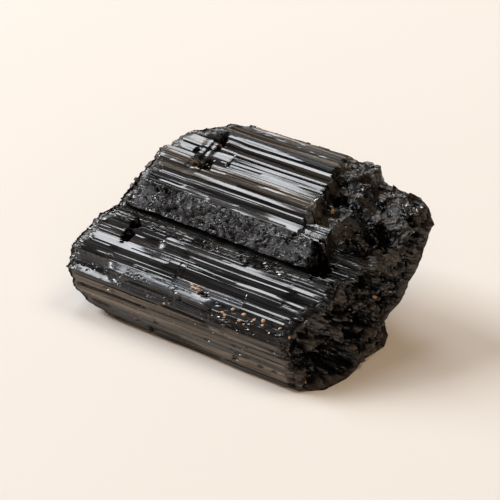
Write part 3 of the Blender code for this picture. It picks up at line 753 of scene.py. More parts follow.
def side_grid():
    """The sides before they're roughened: columns by stations by (x, y, z), and each column's place."""
    right_end = Fracture(FRACTURE_RIGHT)
    grid = []
    places = []
    for panel in PANELS:
        ats, points, ripples = walk_panel(panel)
        for at, line, ripple in zip(ats, points, ripples):
            end = section_rows(END_SECTION, panel.name, at)
            probe = end if end is not None else line[-1]
            right = right_end.x_at(probe[0], probe[1])
            if panel.name != "base":
                ragged = RIGHT_JITTER_BEHIND if panel.name == "back" else RIGHT_JITTER
                spot = Vector((probe[0] / RIGHT_JITTER_WIDTH, probe[1] / RIGHT_JITTER_WIDTH, 6.6))
                right = min(right + ragged * noise.noise(spot), RIGHT_LIMIT)
            xs, block_x, block_run, slab_x, slab_run = station_positions(panel, at, right)
            full = np.stack([np.interp(xs, WALK_X, line[:, 0]), np.interp(xs, WALK_X, line[:, 1])], axis=1)
            lift = np.interp(xs, WALK_X, ripple)
            shares = [(SLAB_SECTION, ramp(xs, block_x, block_run)),
                      (LOW_SECTION, ramp(xs, slab_x, slab_run)),
                      (END_SECTION, smooth_ramp(xs, LOW_START_X, LOW_END_X - LOW_START_X))]
            point = full
            for section, share in shares:
                rows = section_rows(section, panel.name, at)
                if rows is None:
                    other = full
                elif panel.name == "base":
                    other = np.zeros((len(xs), 2)) + rows
                else:
                    other = np.stack([np.full(len(xs), rows[0]), rows[1] + lift], axis=1)
                point = point + (other - point) * share[:, None]
            grid.append(np.column_stack([xs, point]))
            places.append((panel.name, float(at)))
    return np.array(grid), places


def rough_weights(panel_name, at, xs):
    """Height of the large lumps along a column."""
    past_break = smooth_ramp(xs, BLOCK_BREAK_X - LUMPS_LEAD, BREAK_LUMPS_RUN)
    past_slab = smooth_ramp(xs, SLAB_TOP_X - LUMPS_LEAD, SLAB_LUMPS_RUN)
    if panel_name == "shoulder":
        return np.full(len(xs), SHOULDER_LUMP)
    if panel_name == "band":
        return BAND_LUMP * (1.0 - BAND_LUMP_LOSS * past_slab)
    if panel_name == "block_top":
        return FRACTURE_LUMP * past_break * column_of(BLOCK_ROUGH_SHARE, at)
    if panel_name == "back":
        return BACK_LUMP + BACK_LUMP_PAST_BREAK * past_break
    if panel_name == "groove":
        return GROOVE_LUMP * (1.0 - past_slab)
    if panel_name == "front_top":
        past_ledge = ramp(xs, LEDGE_END_X, LEDGE_END_RUN)
        return LEDGE_LUMP * float(column_of(LEDGE_ROUGH_SHARE, at)) * (1.0 - LEDGE_LUMP_LOSS * past_ledge)
    return np.full(len(xs), FACE_LUMP)


def fracture_shares(panel_name, at, xs):
    """How far the surface is a fresh break, from 0 on prism faces to 1, along a column."""
    past_break = ramp(xs, BLOCK_BREAK_X - FRESH_LEAD, FRESH_RUN)
    if panel_name == "block_top":
        return past_break * float(column_of(BLOCK_BROKEN_SHARE, at))
    if panel_name == "back":
        return np.maximum(past_break, float(column_of(BACK_BROKEN_SHARE, at)))
    if panel_name == "front_top":
        past_ledge = ramp(xs, LEDGE_END_X, LEDGE_END_RUN)
        return LEDGE_BROKEN * float(column_of(LEDGE_ROUGH_SHARE, at)) * (1.0 - past_ledge)
    return np.zeros(len(xs))


def matte_shares(panel_name, at, xs):
    """How dull the surface is along a column: the band, the groove under it, the plateau and the shoulder.
    Dull places take the band's grey, which is partly a painted sheen.
    """
    if panel_name == "band":
        before = ramp(xs, BAND_START_X - BAND_MATTE_LEAD, BAND_MATTE_LEAD)
        after = smooth_ramp(xs, SLAB_TOP_X - BAND_MATTE_LEAD, BAND_MATTE_RUN)
        return (before - after) * float(column_of(BAND_MATTE_SHARE, at))
    if panel_name == "groove":
        return np.full(len(xs), GROOVE_MATTE)
    if panel_name == "shoulder":
        return float(column_of(WORN_SHARE, at)) * (1.0 - smooth_ramp(xs, WORN_END_X, WORN_END_RUN))
    if panel_name == "front_top" and at < PLATEAU_CORNER:
        return PLATEAU_MATTE * (ramp(xs, PLATEAU_START_X, PLATEAU_RUN) - ramp(xs, PLATEAU_END_X, PLATEAU_RUN))
    return np.zeros(len(xs))


def shaded_share(panel_name, at):
    """Painted shade: how far the hollow under the band is darkened towards black."""
    if panel_name == "front_top":
        return float(column_of(LEDGE_SHADE_SHARE, at))
    return GROOVE_SHADE if panel_name == "groove" else 0.0


def outward(points):
    """Unit outward direction (y, z) at each column, for one station."""
    along = np.roll(points, -1, axis=0) - np.roll(points, 1, axis=0)
    length = np.linalg.norm(along, axis=1)[:, None] + LEAST_LENGTH
    return np.stack([-along[:, 1], along[:, 0]], axis=1) / length


def faceted_lumps(point, cell):
    """A broken surface of tilted flats: how far it moves at a point, about 1 at most in each direction."""
    spot = Vector(point) / cell
    centre = noise.voronoi(spot)[1][0]
    away = spot - centre
    push = noise.noise_vector(centre * CELL_MIX + PUSH_SHIFT)
    tilt = noise.noise_vector(centre * CELL_MIX + TILT_SHIFT)
    return push * LUMP_PUSH + tilt * away.dot(tilt.normalized()) * LUMP_TILT


def lump_vector(point):
    """Large flats with smaller ones on them."""
    coarse = faceted_lumps(point, FRACTURE_CELL)
    fine = faceted_lumps(Vector(point) + FINE_SHIFT, LUMP_CELL)
    return coarse * COARSE_SHARE + fine * (1.0 - COARSE_SHARE)


def fine_lumps(point, sizes):
    """Small flats of several sizes."""
    total = Vector((0.0, 0.0, 0.0))
    for cell, height in sizes:
        total += faceted_lumps(Vector(point) + FINE_SHIFT * cell, cell) * height
    return total


def band_relief(point):
    """Pits, curved creases and slow swelling of the dull band: how far it sinks."""
    bend = noise.noise_vector(Vector(point) / BAND_BEND_LENGTH + PUSH_SHIFT) * BAND_BEND
    gaps, centres = noise.voronoi(Vector(point) / BAND_PIT_SPACING + bend)
    chosen = noise.noise(centres[0] * CELL_MIX + TILT_SHIFT) > BAND_PIT_CHOICE
    pit = chosen * min(1.0, BAND_PIT_SHARPNESS * max(0.0, 1.0 - gaps[0] / BAND_PIT_REACH))
    spot = Vector(point) / BAND_CREASE_LENGTH + bend * BAND_CREASE_BEND
    crease = max(0.0, 1.0 - abs(noise.noise(spot + WAVE_SHIFT)) / BAND_CREASE_WIDTH)
    hollow = noise.noise(Vector(point) / BAND_SWELL_LENGTH + WAVE_SHIFT)
    return BAND_PIT_DEPTH * pit + BAND_CREASE_DEPTH * crease + BAND_SWELL * hollow


def crumble_share(panel_name, at, gap, right):
    """How far the prisms have crumbled at a distance from their broken end, from 0 to 1 at the very end."""
    if right and panel_name not in RIGHT_CRUMBLE:
        return 0.0
    number = PANEL_NAMES.index(panel_name) + (10.0 if right else 0.0)
    uneven = CRUMBLE_UNEVEN * noise.noise(Vector((number * CRUMBLE_STEPS[0], at * CRUMBLE_STEPS[1], 2.2)))
    return max(0.0, 1.0 - gap / (CRUMBLE_REACH[right] * (1.0 + uneven)))


def shoulder_relief(point):
    """Smooth worn ridge with longish pits: how far it sinks."""
    spot = Vector([value / size for value, size in zip(point, SHOULDER_PIT)])
    near = noise.voronoi(spot)[0][0]
    depth = max(0.0, 1.0 - near / SHOULDER_PIT_REACH)
    wanted = noise.noise(Vector(point) / SHOULDER_PIT_PATCH + PUSH_SHIFT) > SHOULDER_PIT_CHOICE
    slow = Vector([value / size for value, size in zip(point, SHOULDER_SWELL_SIZE)])
    swell = noise.noise(slow + WAVE_SHIFT)
    return SHOULDER_PIT_DEPTH * depth ** SHOULDER_PIT_ROUNDNESS * wanted + SHOULDER_SWELL * swell


def prism_wave(x, y, z):
    """Slow swelling of the prisms along their length."""
    spot = Vector((x / PRISM_WAVE_LENGTH, y / PRISM_WAVE_WIDTH, z / PRISM_WAVE_WIDTH))
    return PRISM_WAVE * noise.noise(spot + WAVE_SHIFT)


def pit_depth(x, y):
    """How deep the pits go at a place seen from above."""
    depth = 0.0
    ragged = PIT_RAGGEDNESS * noise.noise(Vector((x / PIT_RIM_COARSE[0], y / PIT_RIM_COARSE[1], 2.0)))
    ragged += 0.5 * PIT_RAGGEDNESS * noise.noise(Vector((x / PIT_RIM_FINE[0], y / PIT_RIM_FINE[1], 7.0)))
    for pit_x, pit_y, half_length, half_width, deepest in PITS:
        reach = math.hypot((x - pit_x) / half_length, (y - pit_y) / half_width) + ragged
        if 0.0 < reach < 1.0:
            depth = max(depth, deepest * (1.0 - reach * reach) ** PIT_ROUNDNESS)
    return depth


def own_relief(panel_name, at, point):
    """How far the shoulder and the band sink of themselves at a point."""
    x = point[0]
    if panel_name == "shoulder":
        return shoulder_relief(point) * math.sin(math.pi * min(1.0, at / SHOULDER_FACETS)) ** 0.5
    if panel_name == "band" and x < BAND_START_X:
        return BAND_STEP * min(1.0, at, BAND_FACETS - at) * min(1.0, BAND_START_X - x)
    if panel_name == "band" and x < SLAB_TOP_X + 1.0:
        return band_relief(point)
    return 0.0


def roughen(grid, places):
    """Add waves, pits and lumps to the sides. Also gives how broken and how dull each point is, and how much
    painted shade its pits, its crumbled end or its place under the band give it.
    """
    rough = grid.copy()
    columns, stations = grid.shape[:2]
    broken, sunk, matte = np.zeros((3, columns, stations))
    sides = np.array([outward(grid[:, k, 1:]) for k in range(stations)])
    for index, (panel_name, at) in enumerate(places):
        if panel_name == "base" or (panel_name == "face" and at == 0.0):
            continue
        xs = grid[index, :, 0]
        weights = rough_weights(panel_name, at, xs)
        broken[index] = fracture_shares(panel_name, at, xs)
        matte[index] = matte_shares(panel_name, at, xs)
        shade = shaded_share(panel_name, at)
        for k in range(stations):
            x, y, z = grid[index, k]
            side_y, side_z = sides[k, index]
            lump = lump_vector((x, y, z)) * weights[k]
            small = Vector((0.0, 0.0, 0.0))
            if broken[index, k] > 0.0:
                small += fine_lumps((x, y, z), FINE_BREAKAGE) * broken[index, k]
            swell = prism_wave(x, y, z)
            crumbled = max(crumble_share(panel_name, at, xs[-1] - x, True),
                           crumble_share(panel_name, at, x - xs[0], False))
            if crumbled > 0.0 and panel_name != "back":
                swell -= CRUMBLE_DEPTH * crumbled * crumbled
                small += fine_lumps((x, y, z), CRUMBLE_LUMPS) * crumbled ** 0.5
                broken[index, k] = max(broken[index, k], min(1.0, crumbled * CRUMBLE_BROKEN_GAIN))
                matte[index, k] *= 1.0 - crumbled
                # Crumbled ends get painted shade
                sunk[index, k] = CRUMBLE_SHADE * crumbled
            swell -= own_relief(panel_name, at, (x, y, z))
            if panel_name not in ("back", "face"):
                pit = pit_depth(x, y)
                swell -= pit
                # Pits and the hollow under the band get painted shade
                sunk[index, k] = max(sunk[index, k], pit, shade)
                if pit > PIT_BROKEN_FROM:
                    small += fine_lumps((x, y, z), FINE_BREAKAGE) * min(1.0, pit)
                    broken[index, k] = max(broken[index, k], min(1.0, pit * PIT_BROKEN_GAIN))
            swell += (1.0 - ALONG_SHARE) * (lump.y * side_y + lump.z * side_z)
            swell += small.y * side_y + small.z * side_z
            move = lump * ALONG_SHARE + Vector((small.x * FINE_ALONG_SHARE, side_y * swell, side_z * swell))
            rough[index, k] += move
            rough[index, k, 2] = max(rough[index, k, 2], LOWEST_SIDE)
    return rough, broken, sunk, matte


# ---------------------------------------------------------------- the broken ends

# The right-hand end is side 1 and the left-hand end side -1. Distance between points inside an end's rim, the
# share of it that they jump about, and the share of it that they keep from the rim
END_SPACING = {1: 0.26, -1: 0.42}
POINT_JITTER = 0.22
RIM_CLEARANCE = 0.45

# How a rim is eased, how far from it the lumps are at their full height and how fast they grow to it, how
# close two points have to be to count as one, that only the inside is joined into triangles, and how much
# higher the fine breakage is than on the sides
RIM_EASE = 0.95
RIM_TRIES = 40
RIM_FADE = 1.4
RIM_FADE_ROUNDNESS = 0.7
MEETING_GAP = 1e-7
INSIDE_ONLY = 1
END_FINE_SHARE = 1.7

# Cracks between the lumps: size of the large and fine cells, width, depth and how they bend
CRACK_CELL = 3.1
CRACK_FINE_CELL = 0.45 * CRACK_CELL
CRACK_WIDTH = 0.28
CRACK_DEPTH = 1.5
CRACK_FINE_SHARE = 0.35
CRACK_BEND = 0.3
CRACK_BEND_LENGTH = 0.9

# Hollows in the broken ends: (y, z, radius, depth)
END_HOLLOWS = {
    1: [(15.4, 7.8, 2.9, 5.6), (9.6, 3.6, 2.9, 5.0), (21.0, 14.6, 1.9, 2.6), (12.2, 11.0, 1.5, 2.2),
        (24.4, 8.6, 1.7, 2.0), (6.0, 7.5, 1.4, 1.8)],
    -1: [(12.0, 6.0, 3.0, 2.0), (27.0, 16.0, 2.5, 2.0)],
}

# How round a hollow's bottom is, and the size of its rim's raggedness
HOLLOW_ROUNDNESS = 0.45
HOLLOW_RIM = 1.1

# Depths of a hollow, a crack and a low lump at which the surface counts as quite sunk and is painted black as
# shade
HOLLOW_SHADE_DEPTH = 3.0
CRACK_SHADE_DEPTH = 2.0
LUMP_SHADE_DEPTH = 2.5


def are_inside(outline, points):
    """Whether each point is inside a closed outline."""
    result = np.zeros(len(points), dtype=bool)
    ys, zs = outline[:, 0], outline[:, 1]
    next_y, next_z = np.roll(ys, -1), np.roll(zs, -1)
    for y0, z0, y1, z1 in zip(ys, zs, next_y, next_z):
        if z0 == z1:
            continue
        crosses = (z0 > points[:, 1]) != (z1 > points[:, 1])
        at = y0 + (points[:, 1] - z0) * (y1 - y0) / (z1 - z0)
        result ^= crosses & (points[:, 0] < at)
    return result


def distances_to(outline, points):
    """How far each point is from the outline."""
    result = np.full(len(points), ALL)
    for start, stop in zip(outline, np.roll(outline, -1, axis=0)):
        span = stop - start
        square = float(span @ span) + LEAST_SQUARE
        part = np.clip(((points - start) @ span) / square, 0.0, 1.0)
        nearest = start + part[:, None] * span
        result = np.minimum(result, np.hypot(points[:, 0] - nearest[:, 0], points[:, 1] - nearest[:, 1]))
    return result


def crack_depth(y, z):
    """How deep the cracks between the lumps of a broken end go at a place."""
    bend = CRACK_BEND * noise.noise(Vector((y / CRACK_BEND_LENGTH, z / CRACK_BEND_LENGTH, 31.0)))
    gaps = noise.voronoi(Vector((END_SHIFT, y, z)) / CRACK_CELL + Vector((0.0, bend, bend)))[0]
    fine = noise.voronoi(Vector((END_FINE_SHIFT, y, z)) / CRACK_FINE_CELL)[0]
    depth = max(0.0, 1.0 - (gaps[1] - gaps[0]) / CRACK_WIDTH)
    return CRACK_DEPTH * (depth + CRACK_FINE_SHARE * max(0.0, 1.0 - (fine[1] - fine[0]) / CRACK_WIDTH))


def hollow_depth(hollows, y, z):
    """How deep the hollows of a broken end go at a place."""
    depth = 0.0
    ragged = PIT_RAGGEDNESS * noise.noise(Vector((y / HOLLOW_RIM, z / HOLLOW_RIM, 12.0)))
    for middle_y, middle_z, radius, deepest in hollows:
        reach = math.hypot(y - middle_y, z - middle_z) / radius + ragged
        if 0.0 < reach < 1.0:
            depth = max(depth, deepest * (1.0 - reach * reach) ** HOLLOW_ROUNDNESS)
    return depth


def end_spots(outline, side):
    """Places (y, z) inside the rim of a broken end, and how far each is from it."""
    spacing = END_SPACING[side]
    low, high = outline.min(axis=0), outline.max(axis=0)
    dice = random.Random(f"{SEED}:end:{side}")
    spots = []
    for row in range(int((high[1] - low[1]) / spacing) + 1):
        for step in range(int((high[0] - low[0]) / spacing) + 1):
            y = low[0] + (step + 0.5 * (row % 2) + dice.uniform(-POINT_JITTER, POINT_JITTER)) * spacing
            z = low[1] + (row + 0.5 + dice.uniform(-POINT_JITTER, POINT_JITTER)) * spacing
            spots.append((y, z))
    spots = np.array(spots)
    spots = spots[are_inside(outline, spots)]
    gaps = distances_to(outline, spots)
    clear = gaps > RIM_CLEARANCE * spacing
    return spots[clear], gaps[clear]


def end_inner_points(outline, fracture, side):
    """Points of a broken end inside its rim, moved along x by its lumps and cracks, and how much painted
    shade each gets from how deep it lies.
    """
    points = []
    depths = []
    for (y, z), gap in zip(*end_spots(outline, side)):
        grown = min(1.0, gap / RIM_FADE) ** RIM_FADE_ROUNDNESS
        crack = crack_depth(y, z)
        hollow = hollow_depth(END_HOLLOWS[side], y, z)
        lump = faceted_lumps((side * END_SHIFT, y, z), END_CELL)
        small = faceted_lumps((side * END_FINE_SHIFT, y, z), LUMP_CELL)
        swell = COARSE_SHARE * lump.x + (1.0 - COARSE_SHARE) * small.x
        x = fracture.x_at(y, z) + grown * END_LUMP * swell
        x += grown * END_FINE_SHARE * fine_lumps((side * END_SHIFT, y, z), FINE_BREAKAGE).x
        x -= side * grown * crack
        x -= side * grown * hollow
        if side > 0:
            x = min(x, RIGHT_LIMIT)
        points.append((x, y, z))
        low = max(0.0, -side * swell)
        # Hollows, cracks and low lumps get painted shade
        sunk = hollow / HOLLOW_SHADE_DEPTH + crack / CRACK_SHADE_DEPTH + low / LUMP_SHADE_DEPTH
        depths.append(grown * sunk)
    return points, depths


def joined_rim(rim, inner):
    """Triangulate a rim (x, y, z) with the points inside it, as seen along x."""
    flat = [Vector((point[1], point[2])) for point in list(rim) + inner]
    edges = [(k, (k + 1) % len(rim)) for k in range(len(rim))]
    return delaunay_2d_cdt(flat, edges, [], INSIDE_ONLY, MEETING_GAP)


def settled_rim(plain, rough):
    """Even out a rim's roughness and ease it back to its plain outline until it no longer crosses itself."""
    moved = rough - plain
    for _ in range(RIM_TRIES):
        rim = plain + moved
        if len(joined_rim(rim, [])[0]) == len(plain):
            return rim
        moved = RIM_EASE * (0.5 * moved + 0.25 * (np.roll(moved, 1, axis=0) + np.roll(moved, -1, axis=0)))
    raise RuntimeError("the plain rim crosses itself")


def end_triangles(rim, inner):
    """Join a rim and the points inside it into triangles, numbered rim first."""
    result = joined_rim(rim, inner)
    if len(result[0]) != len(rim) + len(inner):
        raise RuntimeError(f"the rim crosses itself: {len(result[0])} points from {len(rim) + len(inner)}")
    first = [numbers[0] for numbers in result[3]]
    return [tuple(first[k] for k in face) for face in result[2]]


# ---------------------------------------------------------------- the crystal's mesh

# Edges sharper than this many degrees stay crisp, and the mesh keeps this many metres inside the solid's box
SHARP_ANGLE = 9.0
BOX_MARGIN = 0.00002


def place(points):
    """Working millimetres to metres in the frame, kept inside the box of the solid."""
    moved = (np.array(points, dtype=float) - (MIDDLE_X, MIDDLE_Y, 0.0)) * MM
    low = np.array(CAD_BOX[0]) + (BOX_MARGIN, BOX_MARGIN, 0.0)
    high = np.array(CAD_BOX[1]) - BOX_MARGIN
    return np.clip(moved, low, high)


def grid_faces(columns, stations):
    """Triangles of the sides: vertex number = column * stations + station."""
    column = np.arange(columns)[:, None]
    station = np.arange(stations - 1)[None, :]
    here = column * stations + station
    beside = (column + 1) % columns * stations + station
    first = np.stack([here, beside, beside + 1], axis=2).reshape(-1, 3)
    second = np.stack([here, beside + 1, here + 1], axis=2).reshape(-1, 3)
    return np.concatenate([first, second])


def film_and_reflection_shares(places, stations):
    """How much brown film each point of the sides carries: partly a real coat and partly painted reflection
    of the warm floor, and none on the tucked-under foot, which stays black as painted shade.
    """
    shares = np.zeros((len(places), stations))
    for index, (panel_name, at) in enumerate(places):
        if panel_name == "face":
            shares[index] = column_of(FACE_FILM_AND_REFLECTION, at)
        if panel_name == "block_top":
            shares[index] = BLOCK_FILM_AND_REFLECTION.get(int(at), 0.0)
    return shares.reshape(-1)


def crystal_mesh():
    """The closed mesh of the whole chunk, with how broken and dull each point is, how much painted shade its
    depth gives it, and how much brown film and painted reflection it carries.
    """
    noise.seed_set(SEED)
    plain, places = side_grid()
    grid, broken, sunk, matte = roughen(plain, places)
    columns, stations = grid.shape[:2]
    for station in (0, stations - 1):
        grid[:, station] = settled_rim(plain[:, station], grid[:, station])
    points = grid.reshape(-1, 3)
    triangles = [tuple(face) for face in grid_faces(columns, stations)]
    shares = {"broken": list(broken.reshape(-1)), "sunk": list(sunk.reshape(-1)),
              "matte": list(matte.reshape(-1)), "film": list(film_and_reflection_shares(places, stations))}
    for station, rows, side in ((0, FRACTURE_LEFT, -1), (stations - 1, FRACTURE_RIGHT, 1)):
        rim = grid[:, station]
        inner, depths = end_inner_points(rim[:, 1:], Fracture(rows), side)
        numbers = [k * stations + station for k in range(columns)]
        numbers += list(range(len(points), len(points) + len(inner)))
        triangles += [tuple(numbers[k] for k in face) for face in end_triangles(rim, inner)]
        points = np.concatenate([points, np.array(inner)])
        shares["broken"] += [1.0] * len(inner)
        shares["sunk"] += depths
        shares["matte"] += [0.0] * len(inner)
        shares["film"] += [END_FILM_AND_REFLECTION] * len(inner)
    data = bpy.data.meshes.new("crystal")
    data.from_pydata([tuple(point) for point in place(points)], [], triangles)
    mesh = bmesh.new()
    mesh.from_mesh(data)
    bmesh.ops.recalc_face_normals(mesh, faces=mesh.faces)
    mesh.to_mesh(data)
    mesh.free()
    for name, values in shares.items():
        layer = data.attributes.new(name, "FLOAT", "POINT")
        layer.data.foreach_set("value", np.array(values, dtype=np.float32))
    data.shade_smooth()
    data.set_sharp_from_angle(angle=math.radians(SHARP_ANGLE))
    return data


# ---------------------------------------------------------------- materials

TOURMALINE_IOR = 1.64

# Scales of the surface noises: how many steps per metre they take along x, y and z
STREAK_SCALE = (30.0, 2200.0, 2200.0)
PATCH_SCALE = (160.0, 420.0, 420.0)
FILM_SCALE = (14.0, 560.0, 560.0)
FILM_FINE_SCALE = (22.0, 1500.0, 1500.0)
PALE_LINE_SCALE = (16.0, 950.0, 950.0)
GRAIN_SCALE = (2600.0, 2600.0, 2600.0)
GLASSY_SCALE = (230.0, 230.0, 230.0)
GLINT_SCALE = (420.0, 420.0, 420.0)
CHIP_SCALE = (1400.0, 1400.0, 1400.0)
HOLE_SCALE = (640.0, 760.0, 760.0)
HOLE_BEND_SCALE = (1500.0, 1500.0, 1500.0)
NICK_SCALE = (300.0, 800.0, 800.0)
NICK_PATCH_SCALE = (160.0, 300.0, 300.0)
ARC_SCALE = (170.0, 190.0, 190.0)
BAND_PATCH_SCALE = (330.0, 330.0, 330.0)

# Detail and roughness of the noises that aren't plain
ROUGH_NOISE = (4.0, 0.6)
GLINT_NOISE = (3.0, 0.6)
BEND_NOISE = (2.0, 0.6)
PATCHY_NOISE = (2.0, 0.5)

# Ranges that a value is stretched over: (low, high, result at low, result at high)
PATCH_DUST = (0.55, 0.85, 0.0, 0.22)
LINE_DUST = (1.05, 1.25, 0.0, 0.32)
LINE_FILM_AND_REFLECTION = (0.91, 1.06, 0.12, 1.0)
PALE_LINES = (0.52, 0.57, 0.0, 1.0)
DULL_ONLY = (0.8, 1.0, 0.0, 1.0)
GLASSY_PATCHES = (0.53, 0.60, 0.0, 1.0)
SUNK_BLACK = (0.1, 0.5, 0.0, 1.0)
BREAK_PATCHES = (0.45, 0.62, 0.0, 1.0)
BROKEN_COLOUR = (0.2, 0.9, 0.0, 1.0)
BREAK_GLOSS = (0.47, 0.60, 0.56, 0.30)
DULL_GLOSS = (0.4, 0.6, 0.42, 0.20)
STREAK_RANGE = (0.35, 0.7)
GLASSY_CHIPS = (0.0, 1.0, 0.35, 1.0)
HOLE_RING = (0.07, 0.13, 1.0, 0.0)
HOLE_MIDDLE = (0.54, 0.60, 1.0, 0.0)
HOLE_PATCHES = (0.41, 0.49, 0.0, 1.0)
NICK_SIZE = (0.16, 0.26, 1.0, 0.0)
NICK_PATCHES = (0.46, 0.52, 0.0, 1.0)
NICK_FILM = (0.5, 0.8, 0.0, 1.0)
ARC_PATCHES = (0.48, 0.60, 0.0, 1.0)
GRAIN_COLOUR = (0.35, 0.65, 0.0, 1.0)
GRAIN_GLOSS = (0.3, 0.7, 0.35, 0.6)

# How far from a cell's middle the ring round a hole lies, and how ragged a hole is
HOLE_RING_AT = 0.74
HOLE_BEND = 0.6

# How the curved ripples of the dull band wander
ARC_DISTORTION = 14.0
ARC_DETAIL = 2.0
ARC_DETAIL_SCALE = 0.9

# Roughness: how much rougher the dullest streaks are than the shiniest, and that of glassy breaks and of film
STREAK_ROUGHNESS = 0.12
GLASSY_ROUGHNESS = 0.09
FILM_ROUGHNESS = 0.24

# Shares of the brown film and painted reflection that colour a break and dull the gloss, and of the grain
# that a break shows
BREAK_FILM_AND_REFLECTION_SHARE = 0.7
FILM_GLOSS_SHARE = 0.6
BREAK_GRAIN_SHARE = 0.4

# Relief in metres, where less than 0 sinks it, and the strength of the grain's
CHIP_RELIEF = 0.00024
ARC_RELIEF = 0.00090
HOLE_RELIEF = -0.00055
NICK_RELIEF = -0.00020
GRAIN_RELIEF = 0.00034
GRAIN_STRENGTH = 0.6
TAN_RELIEF = 0.00008
TAN_STRENGTH = 0.5


def new_material(name):
    """An empty node material with its node tree and shader."""
    material = bpy.data.materials.new(name)
    material.use_nodes = True
    tree = material.node_tree
    return material, tree, tree.nodes["Principled BSDF"]


def feed(tree, socket, value):
    """Link another node's output to an input, or set the input to a value."""
    if isinstance(value, bpy.types.NodeSocket):
        tree.links.new(value, socket)
    else:
        socket.default_value = value


def mixed(tree, share, first, second):
    """first where share is 0, second where it's 1. Each may be a socket or a value."""
    mix = tree.nodes.new("ShaderNodeMix")
    for socket, value in ((mix.inputs[0], share), (mix.inputs[2], first), (mix.inputs[3], second)):
        feed(tree, socket, value)
    return mix.outputs[0]


def mixed_colour(tree, share, first, second):
    """As mixed, for colours."""
    mix = tree.nodes.new("ShaderNodeMix")
    mix.data_type = "RGBA"
    feed(tree, mix.inputs[0], share)
    for socket, value in ((mix.inputs[6], first), (mix.inputs[7], second)):
        feed(tree, socket, value if isinstance(value, bpy.types.NodeSocket) else (*value, 1.0))
    return mix.outputs[2]


def remapped(tree, value, stretch):
    """A value stretched from one range to another and held inside it."""
    remap = tree.nodes.new("ShaderNodeMapRange")
    remap.clamp = True
    tree.links.new(value, remap.inputs[0])
    for socket, number in zip(remap.inputs[1:5], stretch):
        socket.default_value = number
    return remap.outputs[0]


def combined(tree, operation, first, second):
    """A Math node. Each input may be a socket or a number."""
    maths = tree.nodes.new("ShaderNodeMath")
    maths.operation = operation
    for socket, value in zip(maths.inputs[:2], (first, second)):
        feed(tree, socket, value)
    return maths.outputs[0]


def vector_maths(tree, operation, first, second):
    """A Vector Math node. Each input may be a socket or a vector."""
    maths = tree.nodes.new("ShaderNodeVectorMath")
    maths.operation = operation
    for socket, value in zip(maths.inputs[:2], (first, second)):
        feed(tree, socket, value)
    return maths


def stretched_place(tree, scale):
    """Object coordinates in metres, scaled along each axis."""
    where = tree.nodes.new("ShaderNodeTexCoord")
    mapping = tree.nodes.new("ShaderNodeMapping")
    mapping.inputs["Scale"].default_value = scale
    tree.links.new(where.outputs["Object"], mapping.inputs["Vector"])
    return mapping.outputs["Vector"]


def texture_node(tree, kind, where):
    """A texture over a stretched place."""
    made = tree.nodes.new(kind)
    made.inputs["Scale"].default_value = 1.0
    tree.links.new(where, made.inputs["Vector"])
    return made


def noise_socket(tree, scale, detail=1.0, roughness=0.5):
    """Noise over the stretched place, from 0 to 1."""
    made = texture_node(tree, "ShaderNodeTexNoise", stretched_place(tree, scale))
    made.inputs["Detail"].default_value = detail
    made.inputs["Roughness"].default_value = roughness
    return made.outputs[0]


def voronoi_socket(tree, scale):
    """Distance to the nearest cell middle over the stretched place."""
    return texture_node(tree, "ShaderNodeTexVoronoi", stretched_place(tree, scale)).outputs["Distance"]


def chip_socket(tree):
    """Small flat chips, each tilted its own way."""
    where = stretched_place(tree, CHIP_SCALE)
    cells = texture_node(tree, "ShaderNodeTexVoronoi", where)
    lean = vector_maths(tree, "SUBTRACT", cells.outputs["Color"], (0.5, 0.5, 0.5))
    away = vector_maths(tree, "SUBTRACT", where, cells.outputs["Position"])
    return vector_maths(tree, "DOT_PRODUCT", lean.outputs[0], away.outputs[0]).outputs["Value"]


def hole_socket(tree):
    """Irregular holes of the dull band, in patches, which are sunk by bump and darkened as painted shade."""
    bend = combined(tree, "MULTIPLY", noise_socket(tree, HOLE_BEND_SCALE, *BEND_NOISE), HOLE_BEND)
    reach = combined(tree, "ADD", voronoi_socket(tree, HOLE_SCALE), bend)
    ring = combined(tree, "ABSOLUTE", combined(tree, "SUBTRACT", reach, HOLE_RING_AT), 0.0)
    hole = combined(tree, "MAXIMUM", remapped(tree, ring, HOLE_RING), remapped(tree, reach, HOLE_MIDDLE))
    where = remapped(tree, noise_socket(tree, BAND_PATCH_SCALE, *PATCHY_NOISE), HOLE_PATCHES)
    return combined(tree, "MULTIPLY", hole, where)


def nick_socket(tree):
    """Short nicks, thinly scattered, which are sunk by bump and darkened as painted shade."""
    nick = remapped(tree, voronoi_socket(tree, NICK_SCALE), NICK_SIZE)
    where = remapped(tree, noise_socket(tree, NICK_PATCH_SCALE, *PATCHY_NOISE), NICK_PATCHES)
    return combined(tree, "MULTIPLY", nick, where)


def arc_socket(tree):
    """Curved ripples of the dull band, in patches."""
    wave = texture_node(tree, "ShaderNodeTexWave", stretched_place(tree, ARC_SCALE))
    wave.bands_direction = "DIAGONAL"
    wave.inputs["Distortion"].default_value = ARC_DISTORTION
    wave.inputs["Detail"].default_value = ARC_DETAIL
    wave.inputs["Detail Scale"].default_value = ARC_DETAIL_SCALE
    where = remapped(tree, noise_socket(tree, BAND_PATCH_SCALE, *PATCHY_NOISE), ARC_PATCHES)
    return combined(tree, "MULTIPLY", wave.outputs["Fac"], where)


def attribute_socket(tree, name):
    """A number stored on the mesh."""
    made = tree.nodes.new("ShaderNodeAttribute")
    made.attribute_name = name
    return made.outputs["Fac"]


def bumped(tree, height, strength, distance, below=None):
    """A bump node on top of another."""
    made = tree.nodes.new("ShaderNodeBump")
    made.inputs["Strength"].default_value = strength
    made.inputs["Distance"].default_value = distance
    tree.links.new(height, made.inputs["Height"])
    if below is not None:
        tree.links.new(below, made.inputs["Normal"])
    return made.outputs["Normal"]


